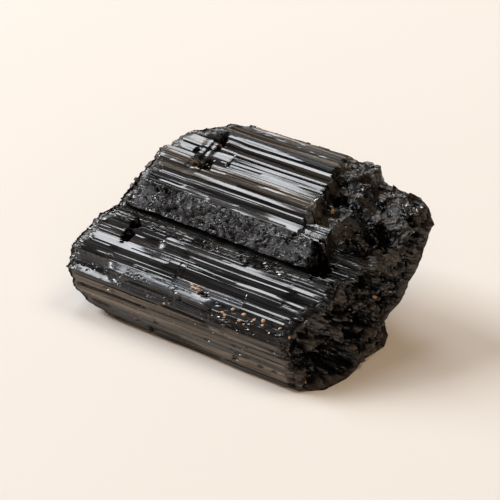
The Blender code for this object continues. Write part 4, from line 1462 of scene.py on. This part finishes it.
def black_tourmaline(settings):
    """Glossy black prism faces with fine lengthwise lines, duller breaks, brown film in places that is partly
    painted reflection, and painted shade in pits, hollows, holes and nicks.
    """
    material, tree, shader = new_material("black_tourmaline")
    shader.inputs["IOR"].default_value = TOURMALINE_IOR
    broken = attribute_socket(tree, "broken")
    sunk = attribute_socket(tree, "sunk")
    matte = attribute_socket(tree, "matte")
    film = attribute_socket(tree, "film")
    streaks = noise_socket(tree, STREAK_SCALE)
    patches = noise_socket(tree, PATCH_SCALE, *ROUGH_NOISE)
    lines = combined(tree, "ADD", noise_socket(tree, FILM_SCALE), noise_socket(tree, FILM_FINE_SCALE))
    pale = noise_socket(tree, PALE_LINE_SCALE)
    grain = noise_socket(tree, GRAIN_SCALE, *ROUGH_NOISE)
    glints = noise_socket(tree, GLINT_SCALE, *GLINT_NOISE)

    # Dust on the prism faces, and brown film and pale lines that are partly dust and partly painted
    # reflection of the warm floor
    dust_and_reflection = remapped(tree, patches, PATCH_DUST)
    film_and_reflection_share = combined(tree, "MULTIPLY", film, remapped(tree, lines, LINE_FILM_AND_REFLECTION))
    dust_and_reflection = combined(tree, "MAXIMUM", dust_and_reflection, film_and_reflection_share)
    dust_and_reflection = combined(tree, "MAXIMUM", dust_and_reflection, remapped(tree, lines, LINE_DUST))
    colour = mixed_colour(tree, dust_and_reflection, settings.black, settings.brown)
    pale_share = combined(tree, "MULTIPLY", film, remapped(tree, pale, PALE_LINES))
    colour = mixed_colour(tree, pale_share, colour, settings.beige)

    # The dull band, whose grey is partly a painted sheen, and its holes, darkened as painted shade
    colour = mixed_colour(tree, matte, colour, settings.dull)
    dull_only = remapped(tree, matte, DULL_ONLY)
    holes = combined(tree, "MULTIPLY", hole_socket(tree), dull_only)
    colour = mixed_colour(tree, holes, colour, settings.break_black_and_shade)

    # The breaks: glassy black in patches, glassy and black as painted shade in hollows, browner elsewhere
    glassy = remapped(tree, noise_socket(tree, GLASSY_SCALE, *PATCHY_NOISE), GLASSY_PATCHES)
    glassy = combined(tree, "MAXIMUM", glassy, remapped(tree, sunk, SUNK_BLACK))
    inner = mixed_colour(tree, remapped(tree, patches, BREAK_PATCHES), settings.break_black_and_shade,
                         settings.break_brown)
    inner = mixed_colour(tree, glassy, inner, settings.break_black_and_shade)
    # Brown film on the breaks, painted warm light and reflection
    inner = mixed_colour(tree, combined(tree, "MULTIPLY", film, BREAK_FILM_AND_REFLECTION_SHARE), inner, settings.brown)
    colour = mixed_colour(tree, remapped(tree, broken, BROKEN_COLOUR), colour, inner)
    # Painted shade: sunk places turn black
    colour = mixed_colour(tree, remapped(tree, sunk, SUNK_BLACK), colour, settings.break_black_and_shade)
    # Nicks in the film, sunk by bump and darkened as painted shade
    nicks = combined(tree, "MULTIPLY", nick_socket(tree), remapped(tree, film, NICK_FILM))
    colour = mixed_colour(tree, nicks, colour, settings.break_black_and_shade)
    tree.links.new(colour, shader.inputs["Base Color"])

    # Roughness
    roughness = remapped(tree, streaks, (*STREAK_RANGE, settings.gloss, settings.gloss + STREAK_ROUGHNESS))
    fresh = mixed(tree, glassy, remapped(tree, glints, BREAK_GLOSS), GLASSY_ROUGHNESS)
    roughness = mixed(tree, broken, roughness, fresh)
    roughness = mixed(tree, matte, roughness, remapped(tree, glints, DULL_GLOSS))
    film_gloss = combined(tree, "MULTIPLY", film, FILM_GLOSS_SHARE)
    roughness = mixed(tree, film_gloss, roughness, FILM_ROUGHNESS)
    tree.links.new(roughness, shader.inputs["Roughness"])

    # Relief too fine for the mesh: chips, ripples, holes, nicks and grain
    sharp = combined(tree, "MULTIPLY", broken, remapped(tree, glassy, GLASSY_CHIPS))
    chips = combined(tree, "MULTIPLY", chip_socket(tree), sharp)
    relief = bumped(tree, chips, 1.0, CHIP_RELIEF)
    relief = bumped(tree, combined(tree, "MULTIPLY", arc_socket(tree), dull_only), 1.0, ARC_RELIEF, relief)
    relief = bumped(tree, holes, 1.0, HOLE_RELIEF, relief)
    relief = bumped(tree, nicks, 1.0, NICK_RELIEF, relief)
    grainy = combined(tree, "MAXIMUM", dull_only, combined(tree, "MULTIPLY", broken, BREAK_GRAIN_SHARE))
    grain = combined(tree, "MULTIPLY", grain, grainy)
    tree.links.new(bumped(tree, grain, GRAIN_STRENGTH, GRAIN_RELIEF, relief), shader.inputs["Normal"])
    return material


def tan_grains(settings):
    """Tan grains of another mineral, slightly uneven in colour and lightly polished."""
    material, tree, shader = new_material("tan_grains")
    patches = noise_socket(tree, GRAIN_SCALE, *ROUGH_NOISE)
    colour = mixed_colour(tree, remapped(tree, patches, GRAIN_COLOUR), settings.grain, settings.grain_dark)
    tree.links.new(colour, shader.inputs["Base Color"])
    tree.links.new(remapped(tree, patches, GRAIN_GLOSS), shader.inputs["Roughness"])
    tree.links.new(bumped(tree, patches, TAN_STRENGTH, TAN_RELIEF), shader.inputs["Normal"])
    return material


# ---------------------------------------------------------------- needles

# Short black needles and blocks lying in the broken end:
# (x, y, z, half length, half width, turn in the plane of the surface in degrees, how far they stand off it as
# a share of their half width)
NEEDLES = [
    (0.5, 14.6, 10.6, 1.6, 0.45, 70, 0.15), (0.0, 13.2, 8.4, 1.3, 0.35, 40, 0.2),
    (-1.0, 16.8, 9.4, 1.1, 0.40, 110, 0.2), (2.4, 22.6, 12.4, 1.5, 0.60, 95, 0.2),
    (2.8, 24.4, 13.6, 1.0, 0.50, 75, 0.2), (1.5, 19.2, 9.6, 1.7, 0.35, 60, 0.2),
    (-2.5, 9.4, 6.2, 1.5, 0.40, 20, 0.2), (-2.2, 8.2, 4.6, 1.4, 0.30, 15, 0.2),
    (-1.8, 10.6, 2.6, 1.6, 0.30, 10, 0.2), (-1.5, 11.4, 4.0, 1.2, 0.35, 35, 0.2),
    (1.2, 17.4, 4.4, 1.2, 0.40, 120, 0.2), (2.0, 20.4, 3.4, 1.0, 0.45, 50, 0.2),
    (-4.6, 5.2, 8.2, 1.2, 0.40, 80, 0.2), (-5.2, 4.0, 5.4, 1.0, 0.35, 100, 0.2),
    (-2.2, 11.8, 11.0, 1.2, 0.40, 60, 0.1), (1.0, 17.6, 12.6, 1.3, 0.45, 80, 0.1),
    (3.4, 28.4, 11.0, 1.3, 0.45, 60, 0.2), (3.8, 31.8, 15.4, 1.2, 0.50, 110, 0.2),
]

# A needle's sides, how far it tips out of the surface, how far its ends may stand off it, how it is shortened
# until they don't, how its ends taper, slant and vary, and how flat it is. It points up the surface before it
# is turned, or along x where less than the last share of it could.
NEEDLE_SIDES = 5
NEEDLE_TIP = 0.12
NEEDLE_STAND_OFF = 0.22
NEEDLE_SHORTEST = 0.3
NEEDLE_SHORTENING = 0.8
NEEDLE_TAPER = (0.75, 1.0)
NEEDLE_SLANT = (-0.5, 0.5)
NEEDLE_SLANT_SHARE = 0.2
NEEDLE_UNEVEN = 0.2
NEEDLE_FLATNESS = 0.7
NEEDLE_UPRIGHT = 0.1

# Loose needles: how many, their half lengths and half widths, and how far they turn. Every other one is
# sought in the broken end from one x, and the others on the fracture above it from one z.
LOOSE_COUNT = 30
LOOSE_LENGTH = (0.5, 1.0)
LOOSE_WIDTH = (0.22, 0.45)
LOOSE_TURN = (0.0, 180.0)
LOOSE_END_X = 4.0
LOOSE_END_Y = (7.0, 26.0)
LOOSE_END_Z = (3.0, 11.0)
LOOSE_TOP_X = (-10.0, -1.0)
LOOSE_TOP_Y = (22.0, 34.0)
LOOSE_TOP_Z = 20.0


def seat_on(tree, spot):
    """Nearest point of the crystal to a place in working millimetres, and the surface direction there."""
    return tree.find_nearest(Vector(place([spot])[0]))[:2]


def stand_off(tree, point, along, length):
    """How far in millimetres the further tip of a needle would be from the surface."""
    tips = [point + along * (sign * length * MM) for sign in (-1.0, 1.0)]
    return max(tree.find_nearest(tip)[3] for tip in tips) / MM


def add_needle(mesh, tree, point, normal, length, width, turn, lift, dice):
    """One short, slightly tapered prism with slanted ends, part sunk in the surface and following it."""
    along = Vector((0.0, 0.0, 1.0)) - normal * normal.z
    if along.length < NEEDLE_UPRIGHT:
        along = Vector((1.0, 0.0, 0.0)) - normal * normal.x
    along.normalize()
    along.rotate(Quaternion(normal, math.radians(turn)))
    along = (along + normal * dice.uniform(-NEEDLE_TIP, NEEDLE_TIP)).normalized()
    while length > NEEDLE_SHORTEST and stand_off(tree, point, along, length) > NEEDLE_STAND_OFF:
        length *= NEEDLE_SHORTENING
    side = along.cross(normal).normalized()
    up = side.cross(along)
    rings = []
    for share in (-1.0, 1.0):
        taper = dice.uniform(*NEEDLE_TAPER)
        slant = NEEDLE_SLANT_SHARE * dice.uniform(*NEEDLE_SLANT)
        ring = []
        for corner in range(NEEDLE_SIDES):
            angle = 2.0 * math.pi * (corner + 0.25) / NEEDLE_SIDES
            out = width * taper * (1.0 + NEEDLE_UNEVEN * (dice.random() - 0.5))
            rise = math.sin(angle) * out * NEEDLE_FLATNESS + lift * width
            offset = side * math.cos(angle) * out + up * rise
            offset += along * share * length * (1.0 + slant * math.cos(angle))
            ring.append(mesh.verts.new(point + offset * MM))
        rings.append(ring)
    first, second = rings
    mesh.faces.new(first)
    mesh.faces.new(list(reversed(second)))
    for corner in range(NEEDLE_SIDES):
        after = (corner + 1) % NEEDLE_SIDES
        mesh.faces.new([first[after], first[corner], second[corner], second[after]])


def needle_mesh(crystal):
    """All the needles in one mesh: those of the broken end, and loose ones on the fracture above it."""
    tree = BVHTree.FromObject(crystal, bpy.context.evaluated_depsgraph_get())
    dice = random.Random(f"{SEED}:needles")
    mesh = bmesh.new()
    for x, y, z, length, width, turn, lift in NEEDLES:
        point, normal = seat_on(tree, (x, y, z))
        add_needle(mesh, tree, point, normal, length, width, turn, lift, dice)
    for number in range(LOOSE_COUNT):
        on_end = number % 2 == 0
        y = dice.uniform(*(LOOSE_END_Y if on_end else LOOSE_TOP_Y))
        z = dice.uniform(*LOOSE_END_Z) if on_end else LOOSE_TOP_Z
        x = LOOSE_END_X if on_end else dice.uniform(*LOOSE_TOP_X)
        point, normal = seat_on(tree, (x, y, z))
        length, width, turn = [dice.uniform(*limits) for limits in (LOOSE_LENGTH, LOOSE_WIDTH, LOOSE_TURN)]
        add_needle(mesh, tree, point, normal, length, width, turn, 0.0, dice)
    return finished_mesh("needles", mesh)


def finished_mesh(name, mesh):
    """Turn a bmesh into mesh data, kept inside the box of the solid."""
    bmesh.ops.recalc_face_normals(mesh, faces=mesh.faces)
    low, high = Vector(CAD_BOX[0]), Vector(CAD_BOX[1])
    for vertex in mesh.verts:
        vertex.co = [min(max(value, least), most) for value, least, most in zip(vertex.co, low, high)]
    data = bpy.data.meshes.new(name)
    mesh.to_mesh(data)
    mesh.free()
    return data


# ---------------------------------------------------------------- grains

# Tan grains seated in the surface: (x, y, z, half length, half width, how far they turn in degrees)
GRAINS = [
    (-34.9, 2.0, 7.8, 0.35, 0.20, 10), (-31.2, 6.2, 11.4, 0.60, 0.17, -14),
    (-30.5, 6.0, 11.2, 0.65, 0.22, -10), (-29.7, 5.8, 11.1, 0.62, 0.18, -20),
    (-28.9, 5.6, 11.0, 0.50, 0.24, -4), (-30.9, 5.7, 11.0, 0.42, 0.11, 48),
    (-29.9, 6.3, 11.4, 0.40, 0.12, 62), (-29.4, 5.4, 10.9, 0.34, 0.12, -70),
    (-22.6, 3.6, 9.6, 0.60, 0.26, 15), (-21.8, 3.4, 9.4, 0.35, 0.20, 0),
    (-20.8, 4.7, 10.4, 0.42, 0.34, 40), (-18.2, 4.5, 10.3, 0.50, 0.34, 20),
    (-18.5, 3.4, 9.4, 0.42, 0.22, 0), (-17.3, 3.2, 9.2, 0.30, 0.18, 30),
    (-15.7, 4.3, 10.1, 0.40, 0.26, 50), (-13.9, 4.7, 10.4, 0.48, 0.42, 80),
    (-13.6, 3.9, 9.8, 0.30, 0.22, 0), (-10.2, 4.5, 10.3, 0.40, 0.26, 60),
    (-7.5, 3.8, 9.7, 0.30, 0.30, 10), (-0.4, 0.8, 4.2, 0.34, 0.22, 0),
    (1.2, 21.9, 10.8, 0.55, 0.30, 15), (2.5, 25.6, 9.0, 0.32, 0.20, 0),
    (-1.6, 16.0, 9.6, 0.30, 0.24, 30), (-12.2, 28.0, 22.6, 0.36, 0.60, 0),
    (-41.2, 33.2, 24.4, 0.45, 0.40, 20), (-44.2, 31.5, 24.2, 0.30, 0.20, 0),
    (-27.4, 1.3, 6.2, 0.16, 0.12, 0), (-23.2, 1.2, 5.9, 0.18, 0.12, 0),
]

# Specks scattered along the front: how many, their half width, how much longer they are, and where they lie
SPECK_COUNT = 46
SPECK_SIZE = (0.05, 0.12)
SPECK_STRETCH = (1.0, 2.0)
SPECK_X = (-52.0, -8.0)
SPECK_LOWEST = 0.6

# How far a grain is sunk, as a share of its height, its height as a share of its width, how uneven it is, and
# from how many degrees its edges are crisp
GRAIN_SINK = 0.35
GRAIN_FLATNESS = 0.5
GRAIN_UNEVEN = 0.28
GRAIN_SHARP_ANGLE = 30.0


def add_grain(mesh, point, normal, length, width, turn, dice):
    """One uneven, faceted grain lying on the surface with its lower part sunk into it."""
    along = Vector((1.0, 0.0, 0.0)) - normal * normal.x
    along.normalize()
    along.rotate(Quaternion(normal, math.radians(turn)))
    side = normal.cross(along)
    height = GRAIN_FLATNESS * min(length, width)
    made = bmesh.ops.create_icosphere(mesh, subdivisions=2, radius=1.0)
    for vertex in made["verts"]:
        local = vertex.co * (1.0 + GRAIN_UNEVEN * (dice.random() - 0.5))
        offset = along * local.x * length + side * local.y * width + normal * (local.z - GRAIN_SINK) * height
        vertex.co = point + offset * MM


def grain_mesh(crystal):
    """All the grains and specks in one mesh."""
    tree = BVHTree.FromObject(crystal, bpy.context.evaluated_depsgraph_get())
    dice = random.Random(f"{SEED}:grains")
    mesh = bmesh.new()
    for x, y, z, length, width, turn in GRAINS:
        point, normal = seat_on(tree, (x, y, z))
        add_grain(mesh, point, normal, length, width, turn, dice)
    for _ in range(SPECK_COUNT):
        share = dice.random()
        spot = (dice.uniform(*SPECK_X), FOOT[0] + share * FACE_END[0], SPECK_LOWEST + share * FACE_END[1])
        point, normal = seat_on(tree, spot)
        size = dice.uniform(*SPECK_SIZE)
        add_grain(mesh, point, normal, size * dice.uniform(*SPECK_STRETCH), size, 0.0, dice)
    return finished_mesh("grains", mesh)


# ---------------------------------------------------------------- settings and operators

class CrystalSettings(bpy.types.PropertyGroup):
    """Colours and gloss of the crystal."""

    black: FloatVectorProperty(
        name="Black", description="Colour of the tourmaline", subtype="COLOR", size=3, min=0.0, max=1.0,
        default=(0.0050, 0.0050, 0.0055))
    # The brown is both dust and the painted reflection of the warm floor on the film and the broken ends
    brown: FloatVectorProperty(
        name="Brown dust", description="Colour of the dust and the film on the prisms", subtype="COLOR",
        size=3, min=0.0, max=1.0, default=(0.096, 0.083, 0.069))
    # The beige lines in the film are partly pale dust and partly painted reflection of the warm floor
    beige: FloatVectorProperty(
        name="Beige lines", description="Colour of the paler lines in the film", subtype="COLOR", size=3,
        min=0.0, max=1.0, default=(0.185, 0.155, 0.125))
    # Broken black is both the colour of fresh breaks and the painted shade in pits, hollows, cracks, holes
    # and nicks
    break_black_and_shade: FloatVectorProperty(
        name="Broken black", description="Colour of fresh breaks and of the bottoms of pits", subtype="COLOR",
        size=3, min=0.0, max=1.0, default=(0.0018, 0.0018, 0.0018))
    break_brown: FloatVectorProperty(
        name="Broken brown", description="Colour of the browner parts of the breaks", subtype="COLOR",
        size=3, min=0.0, max=1.0, default=(0.0295, 0.0285, 0.0275))
    # The dull band's grey is partly its own and partly a painted sheen of the cool light, lightened and
    # tinted blue
    dull: FloatVectorProperty(
        name="Dull black", description="Colour of the dull band", subtype="COLOR", size=3, min=0.0,
        max=1.0, default=(0.061, 0.073, 0.094))
    gloss: FloatProperty(
        name="Prism roughness", description="Roughness of the shiniest prism faces", subtype="FACTOR",
        min=0.0, max=1.0, default=0.17)


class GrainSettings(bpy.types.PropertyGroup):
    """Colours of the grains."""

    grain: FloatVectorProperty(
        name="Grain", description="Colour of the tan grains", subtype="COLOR", size=3, min=0.0, max=1.0,
        default=(0.64, 0.43, 0.27))
    grain_dark: FloatVectorProperty(
        name="Grain, darker parts", description="Colour of the darker parts of the grains", subtype="COLOR",
        size=3, min=0.0, max=1.0, default=(0.38, 0.23, 0.13))


class StageSettings(bpy.types.PropertyGroup):
    """The floor, the light and the camera."""

    floor_colour: FloatVectorProperty(
        name="Floor", description="Colour of the floor", subtype="COLOR", size=3, min=0.0, max=1.0,
        default=(0.755, 0.743, 0.722))
    key_power: FloatProperty(
        name="Key light", description="Power of the large soft light", unit="POWER", min=0.0, default=54.0)
    strip_power: FloatProperty(
        name="Strip light", description="Power of the small light that shines on the prism faces",
        unit="POWER", min=0.0, default=17.5)
    fill_power: FloatProperty(
        name="Fill light", description="Power of the broad light that fills the shadow", unit="POWER",
        min=0.0, default=7.5)
    back_power: FloatProperty(
        name="Back light", description="Power of the soft light behind the chunk", unit="POWER", min=0.0,
        default=15.0)
    panel_power: FloatProperty(
        name="Panel light", description="Power of the dim light in front", unit="POWER", min=0.0,
        default=0.25)
    room_light: FloatProperty(
        name="Room light", description="Strength of the light from all round", min=0.0, default=0.7)
    azimuth: FloatProperty(
        name="Camera azimuth", description="Angle of the camera round the chunk, from straight in front",
        unit="ROTATION", default=math.radians(30.8))
    elevation: FloatProperty(
        name="Camera elevation", description="Angle of the camera above the floor", unit="ROTATION",
        default=math.radians(38.0))
    lens: FloatProperty(
        name="Lens", description="Focal length of the camera", unit="CAMERA", min=1.0, default=155.56)
    distance: FloatProperty(
        name="Camera distance", description="From the chunk to the camera", unit="LENGTH", default=0.43)


def add_object(name, data):
    """Put a mesh, a light or a camera in the scene."""
    made = bpy.data.objects.new(name, data)
    bpy.context.scene.collection.objects.link(made)
    return made


def finished_crystal():
    """The crystal that the needles and grains are seated on."""
    crystal = bpy.data.objects.get("crystal")
    if crystal is None:
        raise RuntimeError("the crystal has to be built first")
    return crystal


class TOURMALINE_OT_crystal(bpy.types.Operator):
    """Build the grown chunk of prisms in place of its solid"""
    bl_idname = "tourmaline.crystal"
    bl_label = "Crystal"

    def execute(self, context):
        """Build the mesh, give it its material and seat it in the frame."""
        data = crystal_mesh()
        data.materials.append(black_tourmaline(context.scene.tourmaline_crystal))
        crystal = add_object("crystal", data)
        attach(crystal, "root")
        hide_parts(CAD_NODE)
        return {"FINISHED"}


class TOURMALINE_OT_needles(bpy.types.Operator):
    """Seat short black needles in the broken end and on the fracture above it"""
    bl_idname = "tourmaline.needles"
    bl_label = "Needles"

    def execute(self, context):
        """Build the needles on the finished crystal."""
        crystal = finished_crystal()
        data = needle_mesh(crystal)
        data.materials.append(crystal.data.materials[0])
        needles = add_object("needles", data)
        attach(needles, "root")
        return {"FINISHED"}


class TOURMALINE_OT_grains(bpy.types.Operator):
    """Seat the tan mineral grains and specks in the crystal's surface"""
    bl_idname = "tourmaline.grains"
    bl_label = "Grains"

    def execute(self, context):
        """Build the grains on the finished crystal."""
        data = grain_mesh(finished_crystal())
        data.materials.append(tan_grains(context.scene.tourmaline_grains))
        data.shade_smooth()
        data.set_sharp_from_angle(angle=math.radians(GRAIN_SHARP_ANGLE))
        grains = add_object("grains", data)
        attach(grains, "root")
        return {"FINISHED"}


# ---------------------------------------------------------------- the stage

# The floor: half its width in metres, the scale of its speckles, the share of its colour that the darkest of
# them keep, its roughness and its specular level
FLOOR_HALF = 3.0
FLOOR_SPECKLE_SCALE = (900.0, 900.0, 900.0)
FLOOR_SPECKLE = 0.985
FLOOR_ROUGHNESS = 0.85
FLOOR_SPECULAR = 0.2

# The lights: (name, direction from the chunk, distance and width in metres, colour, whether it's reflected)
LIGHTS = [
    ("key", (-0.81, 0.03, 0.50), 2.2, 0.85, (1.0, 1.0, 1.0), True),
    ("strip", (-0.42, 0.46, 0.78), 2.2, 0.74, (0.94, 0.965, 1.0), True),
    ("back", (0.20, 0.58, 0.79), 2.2, 0.9, (1.0, 0.80, 0.58), False),
    ("fill", (0.54, -0.52, 0.66), 1.6, 2.0, (1.0, 0.57, 0.27), False),
    ("panel", (-0.40, -0.36, 0.83), 1.8, 0.55, (0.90, 0.95, 1.0), True),
]

# Where the lights and the camera aim, in metres
LIGHT_TARGET = (0.0, 0.0, 0.01)
CAMERA_TARGET = Vector((0.00038, 0.00009, 0.01185))

# Colours of the room: low down, part of the way up and overhead, each with its place on the way up
ROOM_LOW = (0.0, (1.0, 0.86, 0.72, 1.0))
ROOM_MIDDLE = (0.22, (0.55, 0.46, 0.38, 1.0))
ROOM_HIGH = (0.55, (0.03, 0.027, 0.025, 1.0))


def aim(thing, target):
    """Turn a light or a camera to face a point."""
    thing.rotation_euler = (Vector(target) - thing.location).to_track_quat("-Z", "Y").to_euler()


def add_light(name, direction, distance, size, colour, reflected, power):
    """One soft square light aimed at the chunk."""
    lamp = bpy.data.lights.new(name, "AREA")
    lamp.shape = "SQUARE"
    lamp.size = size
    lamp.energy = power
    lamp.color = colour
    light = add_object(name, lamp)
    light.location = Vector(direction).normalized() * distance
    light.visible_glossy = reflected
    aim(light, LIGHT_TARGET)


def add_floor(colour):
    """The pale floor, with faint speckles like paper."""
    half = FLOOR_HALF
    corners = [(-half, -half, 0), (half, -half, 0), (half, half, 0), (-half, half, 0)]
    data = bpy.data.meshes.new("floor")
    data.from_pydata(corners, [], [(0, 1, 2, 3)])
    material, tree, shader = new_material("floor_paper")
    speckle = noise_socket(tree, FLOOR_SPECKLE_SCALE, *ROUGH_NOISE)
    darker = tuple(channel * FLOOR_SPECKLE for channel in colour)
    tree.links.new(mixed_colour(tree, speckle, colour, darker), shader.inputs["Base Color"])
    shader.inputs["Roughness"].default_value = FLOOR_ROUGHNESS
    shader.inputs["Specular IOR Level"].default_value = FLOOR_SPECULAR
    data.materials.append(material)
    floor = add_object("floor", data)


def room_world(strength):
    """A dim room: warm and bright low down, dark overhead."""
    world = bpy.data.worlds.new("room")
    world.use_nodes = True
    tree = world.node_tree
    where = tree.nodes.new("ShaderNodeTexCoord")
    split = tree.nodes.new("ShaderNodeSeparateXYZ")
    tree.links.new(where.outputs["Generated"], split.inputs[0])
    height = tree.nodes.new("ShaderNodeValToRGB")
    stops = height.color_ramp.elements
    stops[0].position, stops[0].color = ROOM_LOW
    stops[1].position, stops[1].color = ROOM_HIGH
    middle = stops.new(ROOM_MIDDLE[0])
    middle.color = ROOM_MIDDLE[1]
    tree.links.new(split.outputs[2], height.inputs[0])
    background = tree.nodes["Background"]
    tree.links.new(height.outputs[0], background.inputs[0])
    background.inputs[1].default_value = strength
    return world


def add_camera(settings):
    """The camera, at its angles and distance from the chunk."""
    data = bpy.data.cameras.new("camera")
    data.lens = settings.lens
    camera = add_object("camera", data)
    turn, lift = settings.azimuth, settings.elevation
    away = Vector((math.sin(turn) * math.cos(lift), -math.cos(turn) * math.cos(lift), math.sin(lift)))
    camera.location = CAMERA_TARGET + away * settings.distance
    aim(camera, CAMERA_TARGET)
    return camera


class TOURMALINE_OT_stage(bpy.types.Operator):
    """Lay the pale floor, light it softly and set up the camera"""
    bl_idname = "tourmaline.stage"
    bl_label = "Stage"

    def execute(self, context):
        """Add the floor, the lights, the room's light and the camera."""
        settings = context.scene.tourmaline_stage
        add_floor(tuple(settings.floor_colour))
        for name, *light in LIGHTS:
            add_light(f"{name}_light", *light, getattr(settings, f"{name}_power"))
        context.scene.world = room_world(settings.room_light)
        context.scene.view_settings.view_transform = "Standard"
        context.scene.camera = add_camera(settings)
        return {"FINISHED"}


class TOURMALINE_PT_panel(bpy.types.Panel):
    """The steps, in the sidebar"""
    bl_idname = "TOURMALINE_PT_panel"
    bl_label = "Black Tourmaline"
    bl_space_type = "VIEW_3D"
    bl_region_type = "UI"
    bl_category = "Tourmaline"

    def draw(self, context):
        """List the steps."""
        for step in STEPS:
            self.layout.operator(step)


OPERATORS = [TOURMALINE_OT_crystal, TOURMALINE_OT_needles, TOURMALINE_OT_grains, TOURMALINE_OT_stage]
STEPS = [operator.bl_idname for operator in OPERATORS]
CLASSES = [CrystalSettings, GrainSettings, StageSettings, *OPERATORS, TOURMALINE_PT_panel]


def register():
    """Add the classes and the settings to Blender."""
    for made in CLASSES:
        bpy.utils.register_class(made)
    bpy.types.Scene.tourmaline_crystal = PointerProperty(type=CrystalSettings)
    bpy.types.Scene.tourmaline_grains = PointerProperty(type=GrainSettings)
    bpy.types.Scene.tourmaline_stage = PointerProperty(type=StageSettings)


def unregister():
    """Take them out again."""
    del bpy.types.Scene.tourmaline_crystal
    del bpy.types.Scene.tourmaline_grains
    del bpy.types.Scene.tourmaline_stage
    for made in reversed(CLASSES):
        bpy.utils.unregister_class(made)


def main():
    """Run every step."""
    register()
    for step in STEPS:
        group, name = step.split(".")
        getattr(getattr(bpy.ops, group), name)()


if __name__ == "__main__":
    main()
